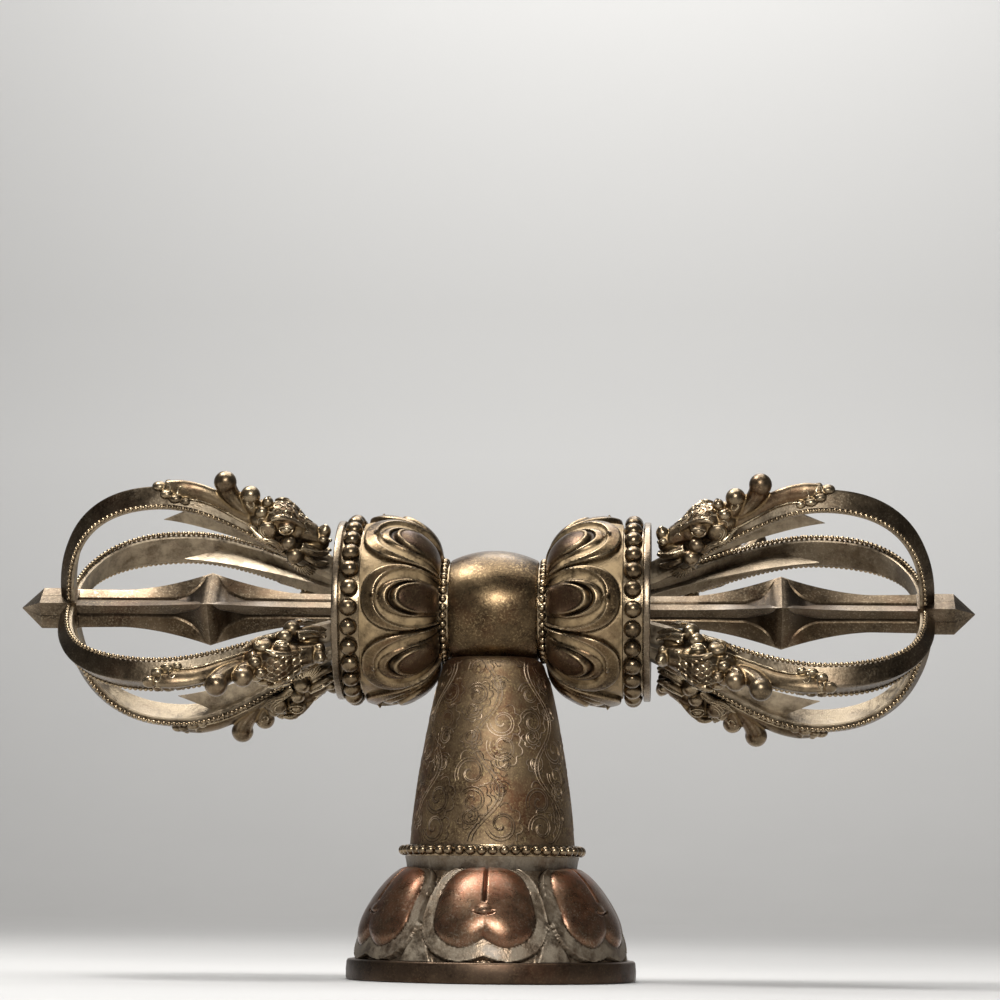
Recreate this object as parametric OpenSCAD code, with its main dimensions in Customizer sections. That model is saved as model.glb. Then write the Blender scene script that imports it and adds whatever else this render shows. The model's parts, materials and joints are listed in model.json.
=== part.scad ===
// Five-pronged dorje vajra lying across its lotus stand.
// Millimetres, Z up, X along the vajra, origin under the middle of the stand.

/* [Grip] */
// Height of the vajra's axis above the table
axis_height = 161; // [150:1:180]
// Turn of the vajra about its own axis as it lies in the stand
vajra_roll = 10; // [-45:1:45]
// Turn of the lotus petals and the centre ribs against the outer prongs
lotus_turn = -6; // [-20:1:20]
// Length of the grip barrel
hub_length = 38.8; // [34:0.2:44]
// Radius of the barrel at its middle
hub_mid_radius = 26.6; // [24.5:0.1:28]
// Radius of the barrel at its ends
hub_end_radius = 22; // [20:0.1:23]
// Radius of the rod that ties the vajra together
rod_radius = 5; // [4:0.1:7]
// Radius of the rod's threaded ends
rod_end_radius = 3; // [2:0.1:3.4]
// Length of thread in each centre prong
socket_depth = 16; // [10:1:30]

/* [Bead collars] */
// Width of the collar between barrel and lotus cup
neck_collar_width = 4.6; // [4:0.1:7]
// Radius of the circle of neck beads
neck_bead_circle = 21.4; // [20:0.1:24]
// Radius of one neck bead
neck_bead_radius = 1.8; // [1.2:0.1:1.85]
// Beads on each neck collar
neck_bead_count = 36; // [20:1:36]
// Width of the collar between lotus cup and prong plate
mouth_collar_width = 9; // [8.4:0.1:12]
// Radius of the circle of mouth beads
mouth_bead_circle = 38.2; // [37:0.1:41]
// Radius of one mouth bead
mouth_bead_radius = 4.05; // [3:0.05:4.1]
// Beads on each mouth collar
mouth_bead_count = 28; // [16:1:28]

/* [Lotus cups] */
// Length of a lotus cup along the vajra
cup_length = 32.6; // [30:0.2:40]
// Radius of the cup where it meets the neck collar
cup_neck_radius = 21.4; // [20:0.1:23]
// Radius of the cup where it meets the mouth collar
cup_mouth_radius = 38.2; // [36:0.1:40]
// Radius that the swelling of the cup pulls towards
cup_swell_radius = 43.5; // [40:0.1:46]
// Petals on each cup
cup_petal_count = 8; // [6:1:10]
// Height of a cup petal's crown above the cup
cup_petal_height = 2.6; // [1.5:0.1:3.2]

/* [Prong plates] */
// Radius of the plate that carries the prongs
plate_radius = 39.4; // [36:0.1:42]
// Thickness of that plate
plate_thickness = 3; // [2.4:0.1:5]

/* [Outer prongs] */
// Thickness of a prong's band at its edges
prong_thickness = 4.4; // [3:0.1:5]
// Height of the ridge along a prong's outer side above its beaded edges
prong_ridge = 6.2; // [4:0.1:7]
// Width of a prong's band between its beaded edges
prong_width = 13; // [11:0.1:14]
// Width of that band at the closed end of the cage
prong_end_width = 9.2; // [8:0.1:9.4]
// Size of the beaded edging
edging_size = 1.9; // [1.4:0.1:2]
// Distance of a prong's root from the axis
prong_root_radius = 22; // [20:0.2:26]
// Distance of a prong's crown from the axis
prong_crown_radius = 58; // [52:0.2:64]
// Distance from the plate to the crown
crown_reach = 74; // [68:0.5:84]
// Distance from the plate to the closed end of the cage
cage_reach = 121.6; // [112:0.2:130]
// Thickness of the blade on a prong's inner side
blade_thickness = 3.4; // [2:0.1:4]
// Distance of the blade's point from the axis
blade_tip_radius = 45; // [42:0.5:47]

/* [Centre prongs] */
// Half diagonal of the ribbed bar at the plate
rib_root_radius = 7; // [6.4:0.1:8]
// Half diagonal of the ribbed bar at the closed end of the cage
rib_end_radius = 8.6; // [8:0.1:9]
// Half diagonal of the valleys between the ribs
valley_radius = 5; // [4.6:0.1:5.6]
// Distance from the plate to the middle of the flare
flare_reach = 57; // [45:0.5:65]
// Half diagonal of the flare
flare_radius = 16.2; // [12:0.2:20]
// Half length of the flare
flare_half_length = 40; // [25:1:44]
// Half diagonal of the square block that the prongs close on
block_radius = 9.2; // [9:0.1:10]
// Length of the square block behind the point
tip_block_length = 8.8; // [5:0.2:12]
// Length of the point
tip_point_length = 9.2; // [6:0.2:14]

/* [Makara heads] */
// Radius of the largest crest ball
crest_ball_radius = 5; // [3.5:0.1:5.4]
// Height of the largest crest ball above the prong's outer face
crest_ball_height = 11; // [9:0.2:14]
// Distance from the plate to the largest crest ball
crest_reach = 47; // [44:0.5:52]
// Height of the leaf that trails from the head along the prong
leaf_height = 2.2; // [1.5:0.1:3]
// Width of that leaf at its widest
leaf_width = 10; // [7:0.1:10.6]

/* [Stand] */
// Radius of the plinth
plinth_radius = 63; // [62:0.2:70]
// Height of the plinth
plinth_height = 9; // [7:0.2:14]
// Width of the plinth's ring
plinth_ring_width = 13; // [12.5:0.2:18]
// Thickness of the sealing sheet under the stand
sheet_thickness = 1.5; // [0.8:0.1:2]
// Depth of the recess that holds the sheet
sheet_recess = 3; // [2.4:0.1:4]
// Height of the lotus dome above the plinth
dome_height = 41.2; // [38:0.2:50]
// Radius of the dome where it stands on the plinth
dome_foot_radius = 59.4; // [58:0.2:61]
// Radius of the dome's neck
dome_neck_radius = 37; // [36:0.2:40]
// Height of the dome's neck
dome_neck_height = 3.2; // [2:0.2:6]
// Wall of the dome
dome_wall = 4.6; // [3:0.1:6]
// Petals on the dome
dome_petal_count = 6; // [5:1:8]
// Height of a dome petal's crown above the dome
dome_petal_height = 3.6; // [1.5:0.1:4]
// Height of the stand's bead collar
stand_collar_height = 5; // [4.8:0.1:6]
// Radius of the circle of the stand's beads
stand_bead_circle = 38.7; // [38:0.1:42]
// Radius of one of the stand's beads
stand_bead_radius = 2.25; // [1.6:0.05:2.35]
// Beads on the stand's collar
stand_bead_count = 50; // [30:1:50]
// Radius of the column at its foot
column_foot_radius = 36; // [35.4:0.1:37]
// Radius of the column at its clipped top
column_top_radius = 23.4; // [21:0.1:24.4]
// Swelling of the column's side at half height
column_swell = 1.6; // [0:0.1:2.4]
// Distance of the column's clipped top below the vajra's axis
column_top_drop = 21; // [16:0.2:23]
// Rounding of the column's top edge
column_shoulder = 5; // [2:0.2:6]
// Wall of the column
column_wall = 5; // [3:0.1:7]
// Thickness of the solid cradle under the barrel
cradle_thickness = 12; // [6:0.5:20]
// Radius of the bolt that ties column and dome
bolt_radius = 3.2; // [2.5:0.1:4]

/* [Fits] */
// Gap between parts that are joined
fit = 0.12; // [0.05:0.01:0.2]
// Gap between the vajra and its stand
lift_gap = 0.3; // [0.2:0.05:0.6]

/* [Hidden] */
fine = 96;
SIDES = ["left", "right"];
CORNERS = ["upper_front", "upper_back", "lower_back", "lower_front"];

BRONZE = [0.42, 0.33, 0.22];
DARK_BRONZE = [0.30, 0.23, 0.16];
PALE_BRONZE = [0.52, 0.43, 0.30];
LACQUER = [0.27, 0.13, 0.09];
COPPER = [0.62, 0.36, 0.22];

// Stations along the vajra, measured outwards from its middle
hub_end = hub_length / 2;
cup_start = hub_end + neck_collar_width;
cup_end = cup_start + cup_length;
plate_back = cup_end + mouth_collar_width;
plate_face = plate_back + plate_thickness;
cage_end = plate_face + cage_reach;

// The barrel's side is one arc
barrel_rise = hub_mid_radius - hub_end_radius;
barrel_arc = (hub_end * hub_end + barrel_rise * barrel_rise) / (2 * barrel_rise);

// Prongs stand between the ribs of the centre prong
prong_half_turn = 45;
prong_end_radius = block_radius * cos(prong_half_turn) + fit;
// Offsets from a prong's line: beads along the edges, a ridge outside, a flat face inside
half_band = prong_thickness / 2;
bead_middle = -1.1 * half_band;
edging_top = bead_middle + edging_size / 2;
edging_foot = bead_middle - edging_size / 2;
ridge_top = bead_middle + prong_ridge;
rim_top = bead_middle + edging_size / 4;
band_foot = bead_middle - half_band;
roof_slope = (ridge_top - rim_top) / (prong_width / 2);
collar_wall = 5;
mouth_collar_bore = mouth_bead_circle - mouth_bead_radius - collar_wall;

// Stations up the stand
dome_top = plinth_height + dome_height;
neck_top = dome_top + dome_neck_height;
column_foot = neck_top + stand_collar_height;
column_top = axis_height - column_top_drop;
neck_wall = 7;
spigot_radius = dome_neck_radius - neck_wall;
spigot_depth = 8;
spigot_foot = neck_top - spigot_depth;
web_thickness = 7;
web_foot = spigot_foot - fit - web_thickness;
collar_seat_radius = column_foot_radius - 2;
cradle_foot = axis_height - hub_mid_radius - lift_gap - cradle_thickness;
bolt_head_height = 5;
washer_radius = 3 * bolt_radius;
washer_thickness = 1.6;
sheet_ledge = 7;
sheet_radius = plinth_radius - plinth_ring_width + sheet_ledge;

// Curves and paths
function bezier(a, b, c, d, t) =
    a * pow(1 - t, 3) + b * 3 * t * pow(1 - t, 2) + c * 3 * t * t * (1 - t) + d * pow(t, 3);
function curve(a, b, c, d, steps) = [for (i = [0 : steps]) bezier(a, b, c, d, i / steps)];
function reverse(list) = [for (i = [len(list) - 1 : -1 : 0]) list[i]];
function tail(list) = [for (i = [1 : len(list) - 1]) list[i]];
function unit(v) = v / norm(v);
function heading(path, i) = unit(path[min(i + 1, len(path) - 1)] - path[max(i - 1, 0)]);
// Path moved sideways, to the left of its direction
function beside(path, gap) =
    [for (i = [0 : len(path) - 1]) path[i] + gap * [-heading(path, i)[1], heading(path, i)[0]]];
function band(path, low, high) = concat(beside(path, high), reverse(beside(path, low)));

// Line of an outer prong as [axial, radial]: from the root up to the crown, then round to the end
prong_root = [plate_face, prong_root_radius];
prong_crown = [plate_face + crown_reach, prong_crown_radius];
prong_end = [cage_end, prong_end_radius - 1];
prong_line = concat(
    [prong_root - [6, 2.2]],
    curve(prong_root, prong_root + [26, 14], prong_crown - [25, 0], prong_crown, 12),
    tail(curve(prong_crown, prong_crown + [29, 0], [cage_end, prong_crown_radius - 18],
               prong_end, 12)));

// Placing: a piece drawn along +Z is laid along the vajra, on one side of its middle
module at_end(side) {
    translate([0, 0, axis_height])
        mirror([side == "left" ? 1 : 0, 0, 0])
            rotate([0, 90, 0])
                rotate([0, 0, -90 - vajra_roll])
                    children();
}

module at_corner(side, corner) {
    at_end(side) rotate([0, 0, -prong_half_turn - 90 * search([corner], CORNERS)[0]]) children();
}

// Flat shapes drawn as [axial, radial] and as [axial, across], then thickened
module cross_wall(thickness) {
    rotate([90, 0, 0]) linear_extrude(thickness, center = true) mirror([1, -1]) children();
}

module radial_wall(height) {
    rotate([90, 0, 90]) linear_extrude(height) mirror([1, -1]) children();
}

module bead_circle(count, circle_radius, bead_radius) {
    for (i = [0 : count - 1])
        rotate([0, 0, i * 360 / count]) translate([circle_radius, 0, 0]) sphere(bead_radius, $fn = 24);
}

// Lotus petal laid on a turned surface. The path holds [radius, height] from the petal's root
// to its end. A style holds the share of the width and of the length that the raised boss takes,
// how far the sides draw in towards the end, and how far the end is notched at its middle.
CUP_PETAL = [0.6, 0.7, 1, 0];
DOME_PETAL = [0.8, 0.8, 0.62, 0.12];
petal_across = [-1, -0.93, -0.78, -0.5, 0, 0.5, 0.78, 0.93, 1];
petal_along = [0, 0.2, 0.45, 0.66, 0.74, 0.88, 0.94, 1];
petal_width = 0.97;
function petal_spread(v, style) =
    petal_width * sqrt(max(0.004, 1 - style[2] * pow(max(0, v - 0.6) / 0.4, 2.4)));
function petal_end(u, v, style) = v - style[3] * v * v * pow(1 - abs(u), 2);
function petal_lip(u, v) = max(abs(u) > 0.9 && abs(u) < 0.95 ? 1 : 0, v > 0.93 && v < 0.95 ? 1 : 0);
function petal_rise(u, v, style) = abs(u) == 1 || v == 1 || v == 0 ? -0.2
    : v < style[1] && abs(u) < style[0] ? (0.62 + 0.38 * cos(90 * u / style[0])) * min(1, 0.3 + 3 * v)
    : 0.3 + 0.22 * petal_lip(u, v);
function along_path(path, v) =
    let (s = v * (len(path) - 1), i = min(floor(s), len(path) - 2))
    path[i] + (path[i + 1] - path[i]) * (s - i);
function spun(p, angle) = [p[0] * cos(angle), p[0] * sin(angle), p[1]];

// outward is 1 where the turned surface faces the left of the path, and -1 where it faces the right
module lotus_petal(path, outward, half_angle, height, root_depth, style) {
    columns = len(petal_across);
    rows = len(petal_along);
    raised = beside(path, outward) - path;
    crown = [for (v = petal_along) for (u = petal_across) let (w = petal_end(u, v, style))
        spun(along_path(path, w) + along_path(raised, w) * height * petal_rise(u, v, style),
             -outward * u * half_angle * petal_spread(v, style))];
    sunk = [for (v = petal_along) for (u = [-1, 1])
        spun(along_path(path, v) - along_path(raised, v) * root_depth,
             -outward * u * half_angle * petal_spread(v, style))];
    low = columns * rows;
    last = low - columns;
    end = low + 2 * rows - 2;
    polyhedron(concat(crown, sunk), concat(
        [for (r = [0 : rows - 2]) for (c = [0 : columns - 2]) let (k = r * columns + c)
            each [[k, k + columns, k + 1], [k + 1, k + columns, k + columns + 1]]],
        [for (r = [0 : rows - 2]) let (k = low + 2 * r) each [[k, k + 1, k + 2], [k + 1, k + 3, k + 2]]],
        [for (r = [0 : rows - 2]) let (k = r * columns, f = low + 2 * r)
            each [[k, f, k + columns], [f, f + 2, k + columns]]],
        [for (r = [0 : rows - 2]) let (k = (r + 1) * columns - 1, f = low + 2 * r + 1)
            each [[k, k + columns, f], [f, k + columns, f + 2]]],
        [for (c = [0 : columns - 2]) [low, c, c + 1]], [[low, columns - 1, low + 1]],
        [for (c = [1 : columns - 1]) [end, last + c, last + c - 1]], [[end, end + 1, last + columns - 1]]));
}

// Vajra, from the middle outwards

module grip_hub() {
    color(BRONZE) at_end("right") rotate_extrude($fn = fine) difference() {
        intersection() {
            translate([hub_mid_radius - barrel_arc, 0]) circle(barrel_arc, $fn = fine);
            translate([0, -hub_end]) square([hub_mid_radius, hub_length]);
        }
        translate([0, -hub_end - 1]) square([rod_radius + fit, hub_length + 2]);
    }
}

module tie_rod() {
    color(COPPER) at_end("right") {
        translate([0, 0, -plate_back]) cylinder(r = rod_radius, h = 2 * plate_back, $fn = fine);
        rod_half = plate_face + socket_depth;
        translate([0, 0, -rod_half]) cylinder(r = rod_end_radius, h = 2 * rod_half, $fn = fine);
    }
}

module neck_beads(side) {
    color(PALE_BRONZE) at_end(side) translate([0, 0, hub_end]) {
        difference() {
            cylinder(r = neck_bead_circle - neck_bead_radius / 4, h = neck_collar_width, $fn = fine);
            translate([0, 0, -1]) cylinder(r = rod_radius + fit, h = neck_collar_width + 2, $fn = fine);
        }
        translate([0, 0, neck_collar_width / 2])
            bead_circle(neck_bead_count, neck_bead_circle, neck_bead_radius);
    }
}

// Side of a cup as [radius, height], neck first
cup_petal_root = 4;
cup_neck_pull = [12.6, 2.4];
cup_side = curve([cup_neck_radius, cup_start], [cup_neck_radius, cup_start] + cup_neck_pull,
                 [cup_swell_radius, cup_start + cup_length / 2], [cup_mouth_radius, cup_end], 14);

module lotus_cup(side) {
    half_angle = 180 / cup_petal_count;
    color(BRONZE) at_end(side) {
        rotate_extrude($fn = fine) polygon(concat(
            [[rod_radius + fit, cup_start]], cup_side,
            [[mouth_collar_bore - fit, cup_end], [mouth_collar_bore - fit, plate_back],
             [rod_radius + fit, plate_back]]));
        for (i = [0 : cup_petal_count - 1])
            rotate([0, 0, i * 2 * half_angle - lotus_turn])
                lotus_petal(cup_side, -1, half_angle, cup_petal_height, cup_petal_root, CUP_PETAL);
    }
}

module mouth_beads(side) {
    color(PALE_BRONZE) at_end(side) translate([0, 0, cup_end]) {
        difference() {
            cylinder(r = mouth_bead_circle - mouth_bead_radius / 2, h = mouth_collar_width, $fn = fine);
            translate([0, 0, -1]) cylinder(r = mouth_collar_bore, h = mouth_collar_width + 2, $fn = fine);
        }
        translate([0, 0, mouth_collar_width / 2])
            bead_circle(mouth_bead_count, mouth_bead_circle, mouth_bead_radius);
    }
}

tenon_width = 8;
tenon_thickness = 2.6;
tenon_inset = 3.8;

module prong_tenon(slack) {
    translate([prong_root_radius - tenon_inset - slack, -tenon_width / 2 - slack,
               plate_back + fit - 2 * slack])
        cube([tenon_thickness + 2 * slack, tenon_width + 2 * slack, plate_thickness + 2 + 2 * slack]);
}

module prong_plate(side) {
    color(PALE_BRONZE) at_end(side) difference() {
        translate([0, 0, plate_back]) cylinder(r = plate_radius, h = plate_thickness, $fn = fine);
        translate([0, 0, plate_back - 1])
            cylinder(r = rod_end_radius + fit, h = plate_thickness + 2, $fn = fine);
        for (turn = [0 : 90 : 270])
            rotate([0, 0, turn - prong_half_turn]) prong_tenon(fit);
    }
}

// Centre prong: a four-ribbed bar that flares at half length, then a square block and a point

flare_middle = plate_face + flare_reach;
ridge_half_length = 9;
bar_end = cage_end + band_foot - fit;
flare_steps = [0, 0.03, 0.08, 0.14, 0.22, 0.32, 0.45, 0.6, 0.8, 1];
bar_stations = concat(
    [plate_face], [for (t = reverse(flare_steps)) flare_middle - t * flare_half_length],
    [for (t = tail(flare_steps)) flare_middle + t * flare_half_length], [bar_end]);
function near_flare(z, reach) = max(0, 1 - abs(z - flare_middle) / reach);
function bar_rib(z) =
    let (plain = rib_root_radius + (rib_end_radius - rib_root_radius) * (z - plate_face) / cage_reach)
    plain + (flare_radius - plain) * pow(near_flare(z, flare_half_length), 1.6);
function bar_valley(z) =
    valley_radius + (flare_radius * cos(45) - valley_radius) * pow(near_flare(z, ridge_half_length), 1.5);

module ribbed_bar() {
    rings = len(bar_stations);
    last = 8 * (rings - 1);
    polyhedron(
        [for (z = bar_stations) for (i = [0 : 7]) let (r = i % 2 == 0 ? bar_rib(z) : bar_valley(z))
            [r * cos(45 * i), r * sin(45 * i), z]],
        concat([for (k = [0 : rings - 2]) for (i = [0 : 7]) let (a = 8 * k + i, d = 8 * k + (i + 1) % 8)
                   each [[a, a + 8, d + 8], [a, d + 8, d]]],
               [[for (i = [0 : 7]) i], [for (i = [7 : -1 : 0]) last + i]]));
}

module centre_prong(side) {
    block_start = bar_end - 1;
    block_end = cage_end + half_band - 0.4 + tip_block_length;
    color(BRONZE) at_end(side) difference() {
        union() {
            rotate([0, 0, -lotus_turn]) ribbed_bar();
            translate([0, 0, block_start]) cylinder(r = block_radius, h = block_end - block_start, $fn = 4);
            translate([0, 0, block_end]) cylinder(r1 = block_radius, r2 = 0, h = tip_point_length, $fn = 4);
        }
        translate([0, 0, plate_face - 1])
            cylinder(r = rod_end_radius + fit, h = socket_depth + 2, $fn = fine);
    }
}

// Outer prong: a bent band with a ridge outside, a blade on its inner side and a tenon in the plate

function prong_half_width(z) =
    let (share = (z - plate_face) / cage_reach)
    share < 0.3 ? prong_width / 2 - 0.8 * pow(1 - max(0, share) / 0.3, 2)
    : share < 0.7 ? prong_width / 2
    : prong_width / 2 - (prong_width - prong_end_width) / 2 * pow(min(1, (share - 0.7) / 0.26), 2);
function ridge_over(z) = rim_top + roof_slope * prong_half_width(z);

// Sections at a station of the prong's line, as [off the line, across]
function prong_section(z) =
    let (w = prong_half_width(z))
    [[ridge_over(z), 0], [rim_top, w], [band_foot, w], [band_foot, -w], [rim_top, -w]];
function edging_section(z, way) =
    let (a = prong_half_width(z) + fit / 2, b = a - fit / 2 + edging_size)
    way > 0 ? [[edging_top, a], [edging_top, b], [edging_foot, b], [edging_foot, a]]
    : [[edging_top, -b], [edging_top, -a], [edging_foot, -a], [edging_foot, -b]];

// Solid drawn through one section at each station of the prong's line, from a first station on
module prong_loft(sections, first = 0) {
    size = len(sections[0]);
    last = size * (len(sections) - 1);
    polyhedron(
        [for (k = [0 : len(sections) - 1]) let (q = prong_line[first + k], h = heading(prong_line, first + k))
            for (p = sections[k]) [q[1] + p[0] * h[0], p[1], q[0] - p[0] * h[1]]],
        concat([for (k = [0 : len(sections) - 2]) for (i = [0 : size - 1])
                   let (a = size * k + i, d = size * k + (i + 1) % size)
                   each [[a, a + size, d + size], [a, d + size, d]]],
               [[for (i = [0 : size - 1]) i], [for (i = [size - 1 : -1 : 0]) last + i]]));
}

// Space of the plate and of the centre prong's block
module plate_and_block() {
    translate([-plate_radius, -plate_radius, plate_face + fit - 20])
        cube([4 * plate_radius, 2 * plate_radius, 20]);
    translate([-plate_radius, -plate_radius, cage_end - 15])
        cube([plate_radius + prong_end_radius, 2 * plate_radius, 30]);
}

blade_tip = [plate_face + crown_reach + 1, blade_tip_radius];
blade_root = [plate_face + fit, prong_root_radius - 7];
blade_leave = 10;

module prong_blade(thickness) {
    inner_edge = curve(blade_root, blade_root + [20, 13], blade_tip - [20, 2.4], blade_tip, 12);
    back_edge = beside([for (i = [1 : blade_leave]) prong_line[i]], -half_band / 2);
    clear_back = [for (p = back_edge) [max(p[0], plate_face + fit), p[1]]];
    cross_wall(thickness) polygon(concat(inner_edge, reverse(clear_back)));
}

module prong(side, corner) {
    color(BRONZE) at_corner(side, corner) {
        difference() {
            prong_loft([for (p = prong_line) prong_section(p[0])]);
            plate_and_block();
        }
        prong_blade(blade_thickness);
        prong_tenon(0);
    }
}

// Beaded edging: one strip along each rim of a prong

module edging(side, corner) {
    color(PALE_BRONZE) at_corner(side, corner) difference() {
        for (way = [-1, 1])
            prong_loft([for (p = prong_line) edging_section(p[0], way)]);
        plate_and_block();
    }
}

// Makara head: it rides on a prong's root with its snout to the plate, and its crest and a
// trailing leaf lie along the prong's outer face

module ball(p, r, sides = 32) {
    translate(p) sphere(r, $fn = sides);
}

module limb(p, r, q, s) {
    hull() {
        ball(p, r, 6);
        ball(q, s, 6);
    }
}

// A limb as wide as the gap between its two mirrored halves
module wide_limb(p, r, q, s) {
    hull() for (turn = [0, 1]) mirror([0, turn, 0]) {
        ball(p, r, 10);
        ball(q, s, 10);
    }
}

// Point over the prong: way along from the plate, height over the outer face, and across
function over_prong(reach, height, across) =
    let (z = plate_face + reach,
         i = max([for (k = [0 : len(prong_line) - 2]) prong_line[k][0] <= z ? k : 0]),
         t = (z - prong_line[i][0]) / (prong_line[i + 1][0] - prong_line[i][0]))
    [prong_line[i][1] + (prong_line[i + 1][1] - prong_line[i][1]) * t + half_band + height, across, z];

module makara_face() {
    wide_limb(over_prong(23, 7, 3.6), 7, over_prong(29, 1.6, 3), 6);
    wide_limb(over_prong(16, 5, 2.4), 5, over_prong(6.6, 9, 1.4), 4);
    ball(over_prong(4.4, 14, 0), 2.9);
    for (s = [-1, 1]) {
        ball(over_prong(21.4, 8, 8.6 * s), 2.9);
        ball(over_prong(19.6, 2.6, 10 * s), 3.5);
        ball(over_prong(17.6, -2, 10.2 * s), 4);
        ball(over_prong(28.4, 0.6, 9 * s), 4.3);
        limb(over_prong(15, 0, 9 * s), 2.6, over_prong(2.6, 4.6, 6.4 * s), 1.8);
    }
}

module makara_crest() {
    large = over_prong(crest_reach, crest_ball_height, 0);
    medium = over_prong(crest_reach - 2.12 * crest_ball_radius, 0.94 * crest_ball_height, 0);
    ball(large, crest_ball_radius);
    limb(large - [2, 0, 1], crest_ball_radius * 0.8, over_prong(crest_reach - 8, 2, 0), 2.6);
    ball(medium, crest_ball_radius * 0.88);
    limb(medium - [2, 0, 1], crest_ball_radius * 0.6, over_prong(crest_reach - 16, 3, 0), 2.8);
    ball(over_prong(crest_reach - 18, 10.4, 0), 2.6);
}

// Room that a head leaves for the prong: steps that follow the sides of its ridge
seat_steps = [0, 0.34, 0.68];
module prong_seat() {
    low = 2 * band_foot;
    rise = roof_slope * prong_width / 2;
    cross_wall(prong_width + 2 * (edging_size + fit)) polygon(band(prong_line, low, edging_top + fit));
    for (t = seat_steps)
        cross_wall(prong_width * (t + seat_steps[1]))
            polygon(band(prong_line, low, ridge_top + fit - t * rise));
}

// Leaf that lies over the ridge: it leaves the head broad, draws in and ends in a lobe
leaf_first = 5;
leaf_shares = [1, 1, 0.94, 0.72, 0.5, 0.44, 0.48, 0.94, 0.6];
function leaf_section(z, half) =
    let (ridge = ridge_over(z) + 1.4 * fit, side = ridge - roof_slope * half, edge = leaf_height / 2)
    [[ridge + leaf_height, -0.35 * half], [ridge + leaf_height, 0.35 * half], [side + edge, half],
     [side, half], [ridge, 0], [side, -half], [side + edge, -half]];
module leaf() {
    prong_loft([for (i = [0 : len(leaf_shares) - 1])
                   leaf_section(prong_line[leaf_first + i][0], leaf_shares[i] * leaf_width / 2)], leaf_first);
}

module makara(side, corner) {
    color(DARK_BRONZE) at_corner(side, corner) {
        difference() {
            union() {
                makara_face();
                makara_crest();
            }
            prong_seat();
            plate_and_block();
        }
        leaf();
    }
}

// Stand, from the top down

// Space that the lying vajra needs in the column's top
module vajra_space() {
    translate([0, 0, axis_height]) rotate([0, 90, 0]) rotate_extrude($fn = fine) {
        intersection() {
            translate([hub_mid_radius - barrel_arc, 0]) circle(barrel_arc + lift_gap, $fn = fine);
            translate([0, -hub_end]) square([2 * hub_mid_radius, hub_length]);
        }
        for (turn = [0, 1]) mirror([0, turn]) {
            translate([0, hub_end - lift_gap])
                square([neck_bead_circle + neck_bead_radius + 2 * lift_gap, 2 * column_foot_radius]);
            polygon(concat([[0, hub_end]], beside(cup_side, -cup_petal_height - lift_gap), [[0, cup_end]]));
        }
    }
}

function column_radius(share) =
    column_foot_radius + (column_top_radius - column_foot_radius) * share
    + 4 * column_swell * share * (1 - share);
column_rise = column_top - column_shoulder - column_foot;
column_shoulder_middle = [column_top_radius - column_shoulder, column_top - column_shoulder];
column_side = concat(
    [for (i = [0 : 12]) [column_radius(i / 12), column_foot + column_rise * i / 12]],
    [for (turn = [15 : 15 : 90]) column_shoulder_middle + column_shoulder * [cos(turn), sin(turn)]]);

module stand_column() {
    cavity_foot = column_foot + 2;
    cavity = [for (p = column_side)
        if (p[1] > cavity_foot && p[1] < cradle_foot) [p[0] - column_wall, p[1]]];
    color(DARK_BRONZE) difference() {
        rotate_extrude($fn = fine) polygon(concat(
            [[0, spigot_foot], [spigot_radius, spigot_foot], [spigot_radius, neck_top],
             [collar_seat_radius, neck_top], [collar_seat_radius, column_foot]],
            column_side, [[0, column_top]]));
        rotate_extrude($fn = fine) polygon(concat([[0, cavity_foot]], cavity, [[0, cradle_foot]]));
        translate([0, 0, spigot_foot - 1])
            cylinder(r = bolt_radius + fit, h = column_foot - spigot_foot, $fn = fine);
        vajra_space();
    }
}

module stand_beads() {
    color(PALE_BRONZE) translate([0, 0, neck_top]) {
        difference() {
            cylinder(r = stand_bead_circle - stand_bead_radius / 2, h = stand_collar_height, $fn = fine);
            translate([0, 0, -1])
                cylinder(r = collar_seat_radius + fit, h = stand_collar_height + 2, $fn = fine);
        }
        translate([0, 0, stand_collar_height / 2])
            bead_circle(stand_bead_count, stand_bead_circle, stand_bead_radius);
    }
}

// Side of the dome as [radius, height], neck first
dome_side = curve([dome_neck_radius, dome_top], [dome_neck_radius + 15, dome_top - 3.4],
                  [dome_foot_radius, plinth_height + 24], [dome_foot_radius, plinth_height], 14);

module lotus_dome() {
    half_angle = 180 / dome_petal_count;
    petal_foot = [dome_foot_radius, plinth_height + 0.4];
    petal_side = concat([for (i = [0 : len(dome_side) - 2]) dome_side[i]], [petal_foot]);
    bolt_hole = bolt_radius + 1;
    inner_side = [for (p = beside(reverse(dome_side), dome_wall)) if (p[1] < web_foot - 2) p];
    color(LACQUER) {
        rotate_extrude($fn = fine) polygon(concat(
            [[spigot_radius + fit, neck_top], [dome_neck_radius, neck_top]], dome_side,
            [[dome_foot_radius - dome_wall, plinth_height]], tail(inner_side),
            [[spigot_radius, web_foot], [bolt_hole, web_foot], [bolt_hole, web_foot + web_thickness],
             [spigot_radius + fit, web_foot + web_thickness]]));
        for (i = [0 : dome_petal_count - 1])
            rotate([0, 0, -90 + i * 2 * half_angle])
                lotus_petal(petal_side, 1, half_angle, dome_petal_height, dome_wall * 0.8, DOME_PETAL);
    }
}

module plinth() {
    edge = 1.2;
    color(DARK_BRONZE) rotate_extrude($fn = fine) polygon([
        [sheet_radius, 0], [plinth_radius - edge, 0], [plinth_radius, edge],
        [plinth_radius, plinth_height - edge], [plinth_radius - edge, plinth_height],
        [plinth_radius - plinth_ring_width, plinth_height],
        [plinth_radius - plinth_ring_width, sheet_recess], [sheet_radius, sheet_recess]]);
}

module sealing_sheet() {
    color(COPPER) translate([0, 0, sheet_recess - sheet_thickness])
        cylinder(r = sheet_radius - fit, h = sheet_thickness, $fn = fine);
}

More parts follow.
